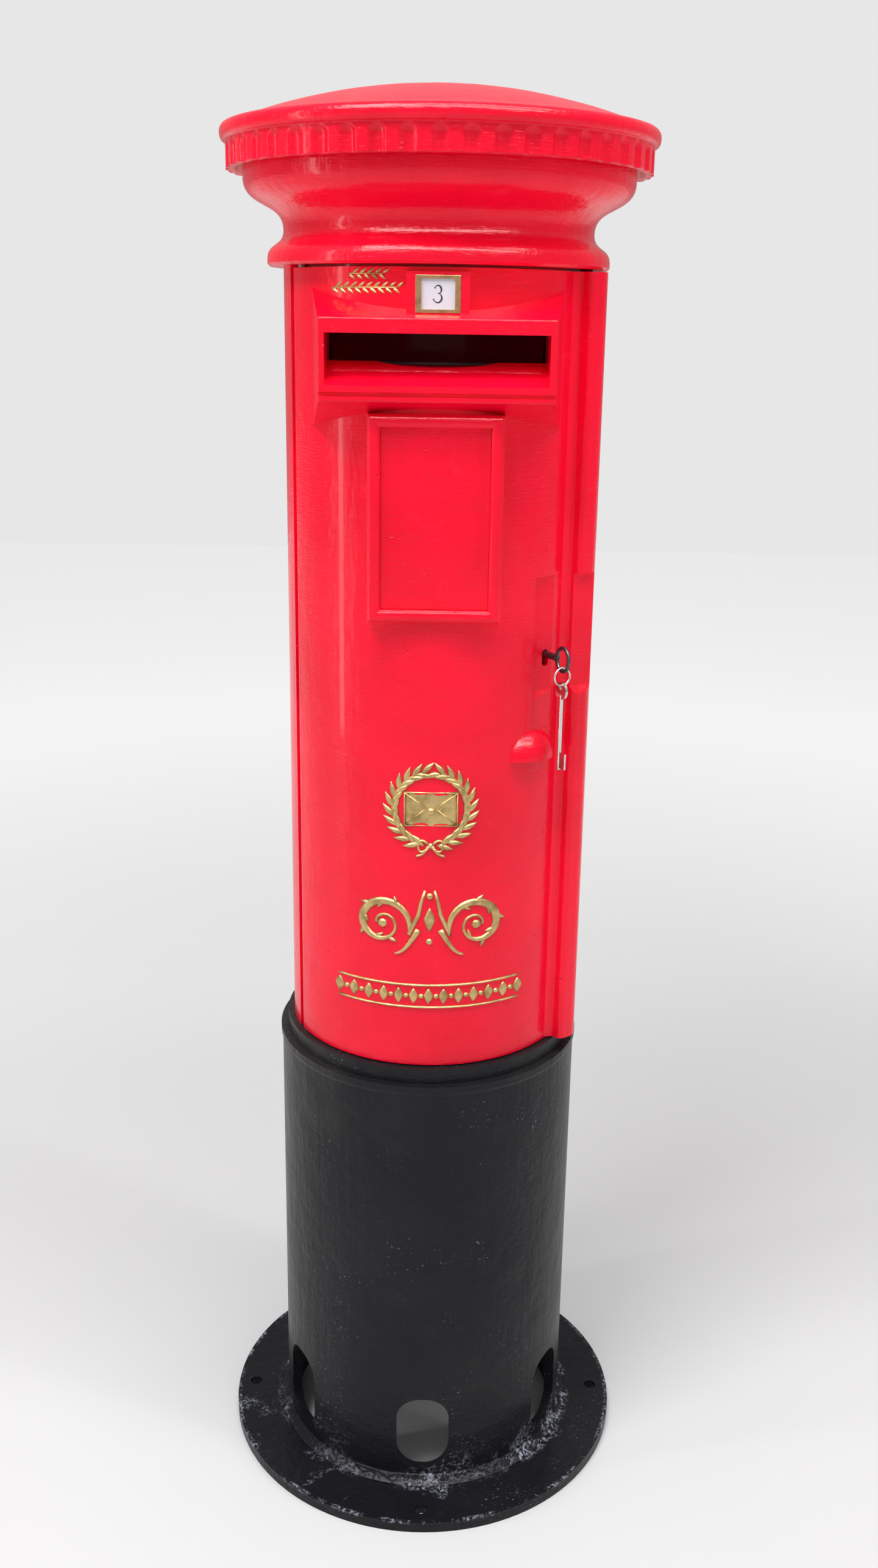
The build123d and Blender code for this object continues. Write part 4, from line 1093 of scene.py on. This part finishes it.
@dataclass
class FlutedCap:
    """The cast cap: a low dome, a rounded rim and a skirt of round-headed flutes.

    Attributes:
        flutes: how many flutes.
        flute_half: half a flute's width.
        flute_depth: its depth.
        flute_drop: from the rim's underside to the top of a flute.
        skirt_drop: from the rim's underside to the skirt's edge.
        rim_height: height of the rim.
        skirt_inset: how far the skirt stands in from the rim.
        dome_inset: how far the dome's edge stands in from the rim.
        skirt_wall: the skirt's wall.
        dome_wall: the dome's wall.
        steps: points round each flute.
        lump: how deep the casting's hollows are.
        coarse: its broad hollows per metre.
        fine: its small hollows per metre.
    """

    flutes: int = 48
    flute_half: float = 0.0092
    flute_depth: float = 0.0046
    flute_drop: float = 0.003
    skirt_drop: float = 0.031
    rim_height: float = 0.019
    skirt_inset: float = 0.007
    dome_inset: float = 0.015
    skirt_wall: float = 0.011
    dome_wall: float = 0.010
    steps: int = 14
    lump: float = 0.0007
    coarse: float = 26.0
    fine: float = 90.0

    def section(self, rim: float, low: float, top: float) -> list[SectionPoint]:
        """The section from the crown, round the rim and back up inside.

        Args:
            rim: the rim's radius.
            low: level of the skirt's edge.
            top: level of the crown.

        Returns:
            Radius, level, share of the flutes and share of the lumps for each point.
        """
        rim_low = low + self.skirt_drop
        rim_top = rim_low + self.rim_height
        edge, rise = rim - self.dome_inset, top - rim_top
        sphere = (edge**2 + rise**2) / (2 * rise)
        points = [
            (r, rim_top + math.sqrt(sphere**2 - r * r) - (sphere - rise), 0.0, 1.0)
            for r in (edge * k / 16 for k in range(17))
        ]
        middle = (rim_low + rim_top) / 2
        for k in range(1, 12):
            a = math.pi * (0.5 - k / 12)
            base = edge if a > 0 else rim - self.skirt_inset
            r = base + (rim - base) * math.cos(a) ** 0.55
            points.append((r, middle + 0.5 * self.rim_height * math.sin(a), 0.0, 0.8))
        skirt = rim - self.skirt_inset
        for k in range(17):
            points.append((skirt, rim_low - self.skirt_drop * k / 16, 1.0, 0.6))
        bore = skirt - self.skirt_wall
        points += [(skirt - 0.6 * self.skirt_wall, low, 0.5, 0.0), (bore, low, 0.0, 0.0)]
        inside = rim_top - self.dome_wall
        points.append((bore, inside, 0.0, 0.0))
        sphere = (bore**2 + rise**2) / (2 * rise)
        for k in range(5, -1, -1):
            r = bore * k / 6
            points.append((r, inside + math.sqrt(sphere**2 - r * r) - (sphere - rise), 0.0, 0.0))
        return points

    def build(self) -> None:
        """Makes the cap in the place of its CAD casting."""
        low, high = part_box("cap")
        rim = high.x
        around = self.flutes * self.steps
        head = low.z + self.skirt_drop - self.flute_drop - self.flute_half
        dome = rim - self.dome_inset * 1.01
        rows = []
        for radius, level, fluted, lumped in self.section(rim, low.z, high.z):
            row = []
            for k in range(around):
                angle = 2 * math.pi * k / around
                across = radius * 2 * math.pi / self.flutes * ((k / self.steps + 0.5) % 1.0 - 0.5)
                off = math.hypot(across, max(0.0, level - head)) / self.flute_half
                cut = self.flute_depth * math.sqrt(max(0.0, 1 - off * off)) * fluted
                x, y = math.cos(angle), math.sin(angle)
                dent = self.lump * lumped * lumpy(x * radius, y * radius, level, self.coarse)
                dent += 0.4 * self.lump * lumped * lumpy(x * radius, y * radius, level, self.fine)
                sink = dent if radius < dome and not fluted else 0.0
                r = max(0.0, radius - cut - (0.0 if sink else dent))
                row.append((r * x, r * y, level - sink))
            rows.append(row)
        cap = lathe("fluted_cap", rows, poles=True)
        Finish.RED.dress(cap)
        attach(cap, "root")
        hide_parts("cap")
        LOG.info("%s with %d flutes", cap.name, self.flutes)


@dataclass
class WeldBead:
    """The rough bead that runs round the foot of the root where it meets its flange.

    Attributes:
        tube: the root's radius.
        flange: the flange's thickness.
        reach: how far the bead spreads each way.
        film: its least fatness.
        lump: how uneven it is.
        bite: how far its hidden edge goes into the root.
        around: points round the bead.
        rows: points across it.
    """

    tube: float = ROOT_RADIUS
    flange: float = FLANGE_TOP
    reach: float = 0.0125
    film: float = 0.0006
    lump: float = 0.0046
    bite: float = 0.002
    around: int = 1100
    rows: int = 9

    def build(self) -> None:
        """Makes the bead on the root."""
        rings = []
        for j in range(self.rows + 1):
            turn = 0.5 * math.pi * j / self.rows
            row = []
            for k in range(self.around):
                a = 2 * math.pi * k / self.around
                x, y = math.cos(a), math.sin(a)
                big = lumpy(x * 0.2, y * 0.2, 0.0, 34.0)
                fine = lumpy(x * 0.2, y * 0.2, 0.004 * j, 150.0)
                fat = self.film + self.lump * max(0.0, big * 0.9 + fine * 0.6 - 0.45)
                hollow = self.reach - fat * math.sin(math.pi * j / self.rows) ** 0.6
                r = self.tube + self.reach - hollow * math.cos(turn)
                z = self.flange + self.reach - hollow * math.sin(turn)
                row.append((r * x, r * y, z))
            rings.append(row)
        inner = []
        for x, y, _ in rings[0]:
            share = (self.tube - self.bite) / math.hypot(x, y)
            inner.append((x * share, y * share, self.flange - self.bite))
        bead = lathe("root_weld_bead", rings + [inner])
        Finish.BLACK.dress(bead)
        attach(bead, "root")
        LOG.info("%s of %d points round", bead.name, self.around)


@dataclass
class NoticeMoulding:
    """The rounded moulding on the four bars round the notice.

    Attributes:
        bar: width of a bar.
        gap: from the notice's edge to the bar.
        stand: how far the bar's face stands forward of the notice.
        bead: how far the moulding stands forward of the bar.
        inset: how far it keeps from the bar's edges.
        bite: how far its back goes into the bar.
        steps: points across it.
    """

    bar: float = 0.0155
    gap: float = 0.0004
    stand: float = 0.0059
    bead: float = 0.0030
    inset: float = 0.0016
    bite: float = 0.001
    steps: int = 12

    def build(self) -> None:
        """Makes the moulding on the door, mitred at its corners."""
        low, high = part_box("notice_plate")
        middle = ((low.x + high.x) / 2, (low.z + high.z) / 2)
        half = ((high.x - low.x) / 2 + self.gap, (high.z - low.z) / 2 + self.gap)
        width = self.bar - 2 * self.inset
        section = [(self.inset, -self.bite)]
        for k in range(self.steps + 1):
            a = math.pi * (1 - k / self.steps)
            section.append(
                (self.bar / 2 + 0.5 * width * math.cos(a), self.bead * math.sin(a) ** 0.8)
            )
        section.append((self.bar - self.inset, -self.bite))
        form = bmesh.new()
        rings = []
        for across, out in section:
            x, y, z = half[0] + across, low.y - self.stand - out, half[1] + across
            rings.append(
                [
                    form.verts.new((middle[0] + i * x, y, middle[1] + j * z))
                    for i, j in ((-1, -1), (1, -1), (1, 1), (-1, 1))
                ]
            )
        rings.append(rings[0])
        bridge(form, rings)
        for inner, outer in zip(rings, rings[1:]):
            for near, far in zip(inner, outer):
                form.edges.get((near, far)).smooth = False
        moulding = mesh_object("notice_moulding", form)
        Finish.RED.dress(moulding)
        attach(moulding, "door")
        LOG.info("%s %.0f mm high", moulding.name, 2000 * (half[1] + self.bar))


@dataclass
class PostingSill:
    """The lip that carries the rising sill from the door's wall to the chute.

    Attributes:
        half_width: half its width.
        front: how far forward of the axis it starts.
        back: how far forward of the axis it ends.
        foot: level at which the sill's line starts.
        rise: how far that line climbs.
        line_front: how far forward of the axis the line starts.
        line_back: how far forward of the axis it ends.
        proud: how far the lip stands above the line.
        sheet: its thickness.
        nose: steps round its rounded end.
        columns: steps across it.
    """

    half_width: float = 0.1262
    front: float = 0.1850
    back: float = 0.1655
    foot: float = 1.530
    rise: float = 0.026
    line_front: float = 0.215
    line_back: float = 0.165
    proud: float = 0.0002
    sheet: float = 0.0030
    nose: int = 6
    columns: int = 24

    def build(self) -> None:
        """Makes the lip on the door."""
        slope = self.rise / (self.line_front - self.line_back)
        edge = self.sheet / 2
        line = []
        for depth in (self.front, self.back + edge):
            line.append((-depth, self.foot + slope * (self.line_front - depth) + self.proud))
        centre = (line[1][0], line[1][1] - edge)
        outline = [line[0]]
        for k in range(self.nose + 1):
            a = math.pi * (0.5 - k / self.nose)
            outline.append((centre[0] + edge * math.cos(a), centre[1] + edge * math.sin(a)))
        outline.append((line[0][0], line[0][1] - self.sheet))
        form = bmesh.new()
        rows = []
        for i in range(self.columns + 1):
            x = self.half_width * (2 * i / self.columns - 1)
            rows.append([form.verts.new((x, y, z)) for y, z in outline])
        bridge(form, rows, ends=True)
        lip = mesh_object("posting_sill_lip", form)
        Finish.RED.dress(lip)
        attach(lip, "door")
        LOG.info("%s %.0f mm wide", lip.name, 2000 * self.half_width)


@dataclass
class TabNumeral:
    """The numeral on the collection tab, as brushed strokes.

    Attributes:
        height: its height.
        proud: how thick the enamel of the numeral is.
    """

    height: float = 0.019
    proud: float = 0.00035

    def strokes(self) -> bpy.types.Object:
        """Draws a three, flat, with X across, Y up and Z out.

        Returns:
            The flat form.
        """
        form = bmesh.new()
        unit = self.height / 2
        upper = [
            (unit * (-0.02 + 0.40 * math.cos(t)), unit * (0.52 + 0.46 * math.sin(t)), 0.0)
            for t in (math.radians(155 - 245 * k / 22) for k in range(23))
        ]
        lower = [
            (unit * (-0.06 + 0.50 * math.cos(t)), unit * (-0.42 + 0.52 * math.sin(t)), 0.0)
            for t in (math.radians(92 - 250 * k / 24) for k in range(25))
        ]
        for line in (upper, lower):
            count = len(line) - 1
            widths = [
                unit * (0.075 + 0.15 * math.sin(math.pi * k / count) ** 1.4)
                for k in range(count + 1)
            ]
            ribbon(form, line, widths, self.proud)
        thing = mesh_object("tab_numeral", form)
        blobs = [
            boss(unit * 0.10, self.proud, end[0], end[1]) for end in (upper[0], lower[-1])
        ]
        return join("tab_numeral", [thing] + blobs)

    def build(self) -> None:
        """Sets the numeral on the tab's face."""
        low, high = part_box("collection_tab")
        thing = self.strokes()
        place = Vector(((low.x + high.x) / 2, low.y, (low.z + high.z) / 2))
        moved(thing, Matrix.Translation(place) @ Matrix.Rotation(math.radians(90), 4, "X"))
        Finish.NUMERAL.dress(thing)
        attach(thing, "collection_tab")
        LOG.info("%s %.0f mm high", thing.name, self.height * 1000)


# ---------------------------------------------------------------- stage and camera
@dataclass(frozen=True)
class Camera:
    """The camera, as seven fitted values and a sensor.

    Attributes:
        focal: focal length as a share of the frame's long side.
        distance: how far in front of the box's axis it stands.
        height: how far up it stands.
        across: how far to the right it stands.
        pitch: how far it looks down, in radians.
        roll: how far it leans, in radians.
        yaw: how far it turns to the right, in radians.
        sensor: the height of its sensor, in millimetres.
    """

    focal: float = 0.95124
    distance: float = 1.9491
    height: float = 1.6029
    across: float = 0.0003
    pitch: float = 0.3018
    roll: float = 0.0155
    yaw: float = 0.0052
    sensor: float = 36.0

    def place(self) -> None:
        """Makes the camera and sets it as the scene's."""
        look = Vector(
            (
                math.sin(self.yaw) * math.cos(self.pitch),
                math.cos(self.yaw) * math.cos(self.pitch),
                -math.sin(self.pitch),
            )
        )
        level = Vector((math.cos(self.yaw), -math.sin(self.yaw), 0.0))
        upright = level.cross(look)
        right = math.cos(self.roll) * level + math.sin(self.roll) * upright
        up = math.cos(self.roll) * upright - math.sin(self.roll) * level
        turn = Matrix((right, up, -look)).transposed().to_4x4()
        data = bpy.data.cameras.new("camera")
        data.sensor_fit = "VERTICAL"
        data.sensor_height = self.sensor
        data.lens = self.focal * self.sensor
        thing = bpy.data.objects.new("camera", data)
        thing.matrix_world = (
            Matrix.Translation((self.across, -self.distance, self.height)) @ turn
        )
        bpy.context.scene.collection.objects.link(thing)
        bpy.context.scene.camera = thing


@dataclass(frozen=True)
class Lamp:
    """One soft box.

    Attributes:
        name: its name.
        at: where it stands.
        aim: the level on the box's axis that it faces.
        size: its width and height.
        power: its watts.
        diffuse: whether it lights matt surfaces.
        glossy: whether it shows in reflections.
    """

    name: str
    at: Point
    aim: float
    size: tuple[float, float]
    power: float
    diffuse: bool = True
    glossy: bool = True

    def hang(self) -> None:
        """Adds the lamp to the scene."""
        data = bpy.data.lights.new(self.name, "AREA")
        data.shape = "RECTANGLE"
        data.size, data.size_y = self.size
        data.energy = self.power
        thing = bpy.data.objects.new(self.name, data)
        thing.visible_diffuse = self.diffuse
        thing.visible_glossy = self.glossy
        aim = Vector((0.0, 0.0, self.aim)) - Vector(self.at)
        turn = aim.to_track_quat("-Z", "Y").to_matrix().to_4x4()
        thing.matrix_world = Matrix.Translation(self.at) @ turn
        bpy.context.scene.collection.objects.link(thing)


LAMPS = (
    Lamp("key_light", (-1.2, -1.6, 3.9), 1.2, (1.5, 0.7), 44.0),
    Lamp("side_light", (-3.0, -0.9, 1.6), 1.0, (0.22, 2.8), 16.0),
    Lamp("right_light", (2.7, -1.4, 1.9), 1.1, (0.22, 2.6), 14.0, glossy=False),
    Lamp("top_light", (0.1, -1.0, 3.9), 1.5, (4.4, 0.45), 78.0),
    Lamp("gleam_light", (0.0, -2.1, 3.5), 1.6, (6.0, 0.55), 190.0, diffuse=False),
)


@dataclass(frozen=True)
class Studio:
    """A pale floor that fades into the background, and soft light mostly from above.

    Attributes:
        floor_half: half the floor's width.
        floor_tone: the floor's colour.
        sky: the light from overhead.
        horizon: the light from low down.
        seen: the background.
        sky_span: where on the way up the light starts to brighten and is full.
        world_strength: strength of the light from around.
        glow: what the far floor adds, so that it fades into the background.
        glow_span: how far from the axis that starts and is full.
    """

    floor_half: float = 9.0
    floor_tone: Colour = (0.80, 0.80, 0.80, 1.0)
    sky: Colour = (1.0, 1.0, 1.0, 1.0)
    horizon: Colour = (0.60, 0.60, 0.60, 1.0)
    seen: Colour = (0.80, 0.80, 0.80, 1.0)
    sky_span: tuple[float, float] = (0.05, 0.75)
    world_strength: float = 0.52
    glow: Colour = (0.42, 0.42, 0.42, 1.0)
    glow_span: tuple[float, float] = (0.6, 4.6)

    def build(self) -> None:
        """Makes the floor, the world and the lights."""
        mesh = bpy.data.meshes.new("floor")
        h = self.floor_half
        mesh.from_pydata([(-h, -h, 0), (h, -h, 0), (h, h, 0), (-h, h, 0)], [], [(0, 1, 2, 3)])
        floor = bpy.data.objects.new("floor", mesh)
        bpy.context.scene.collection.objects.link(floor)
        shader = Shader("floor_paper")
        grain = shader.noise(3.0, 2.0)
        shade = tuple(0.97 * c for c in self.floor_tone[:3]) + (1.0,)
        far = shader.radius().step(*self.glow_span)
        shader.set(
            Base_Color=shader.mix(grain, self.floor_tone, shade),
            Roughness=0.7,
            Emission_Color=shader.mix(far, BLACK, self.glow),
            Emission_Strength=1.0,
        )
        mesh.materials.append(shader.material)
        self.light_world()
        bpy.context.scene.view_settings.view_transform = "Standard"
        for lamp in LAMPS:
            lamp.hang()

    def light_world(self) -> None:
        """Makes a sky that is brightest overhead."""
        world = bpy.data.worlds.new("studio")
        world.use_nodes = True
        tree = world.node_tree
        place = tree.nodes.new("ShaderNodeTexCoord")
        split = tree.nodes.new("ShaderNodeSeparateXYZ")
        rise = tree.nodes.new("ShaderNodeMapRange")
        for name, level in zip(("From Min", "From Max"), self.sky_span):
            rise.inputs[name].default_value = level
        tone = tree.nodes.new("ShaderNodeMix")
        tone.data_type = "RGBA"
        tone.inputs[6].default_value = self.horizon
        tone.inputs[7].default_value = self.sky
        back = tree.nodes["Background"]
        back.inputs["Strength"].default_value = self.world_strength
        pale = tree.nodes.new("ShaderNodeBackground")
        pale.inputs["Color"].default_value = self.seen
        ray = tree.nodes.new("ShaderNodeLightPath")
        both = tree.nodes.new("ShaderNodeMixShader")
        for start, end in (
            (place.outputs["Generated"], split.inputs[0]),
            (split.outputs["Z"], rise.inputs["Value"]),
            (rise.outputs[0], tone.inputs[0]),
            (tone.outputs[2], back.inputs["Color"]),
            (ray.outputs["Is Camera Ray"], both.inputs[0]),
            (back.outputs[0], both.inputs[1]),
            (pale.outputs[0], both.inputs[2]),
            (both.outputs[0], tree.nodes["World Output"].inputs[0]),
        ):
            tree.links.new(start, end)
        bpy.context.scene.world = world


def main() -> None:
    """Builds the box's looks and its stage."""
    logging.basicConfig(level=logging.INFO, format="%(name)s %(message)s")
    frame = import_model()
    for finish, names in CAD_FINISHES.items():
        for name in names.split():
            finish.dress(frame["nodes"][name])
    relief_height = 0.0035
    GiltRelief(skin=-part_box("gilt_envelope")[0].y - relief_height).build()
    FlutedCap().build()
    WeldBead().build()
    TabNumeral().build()
    PostingSill().build()
    NoticeMoulding().build()
    Camera().place()
    Studio().build()


if __name__ == "__main__":
    main()
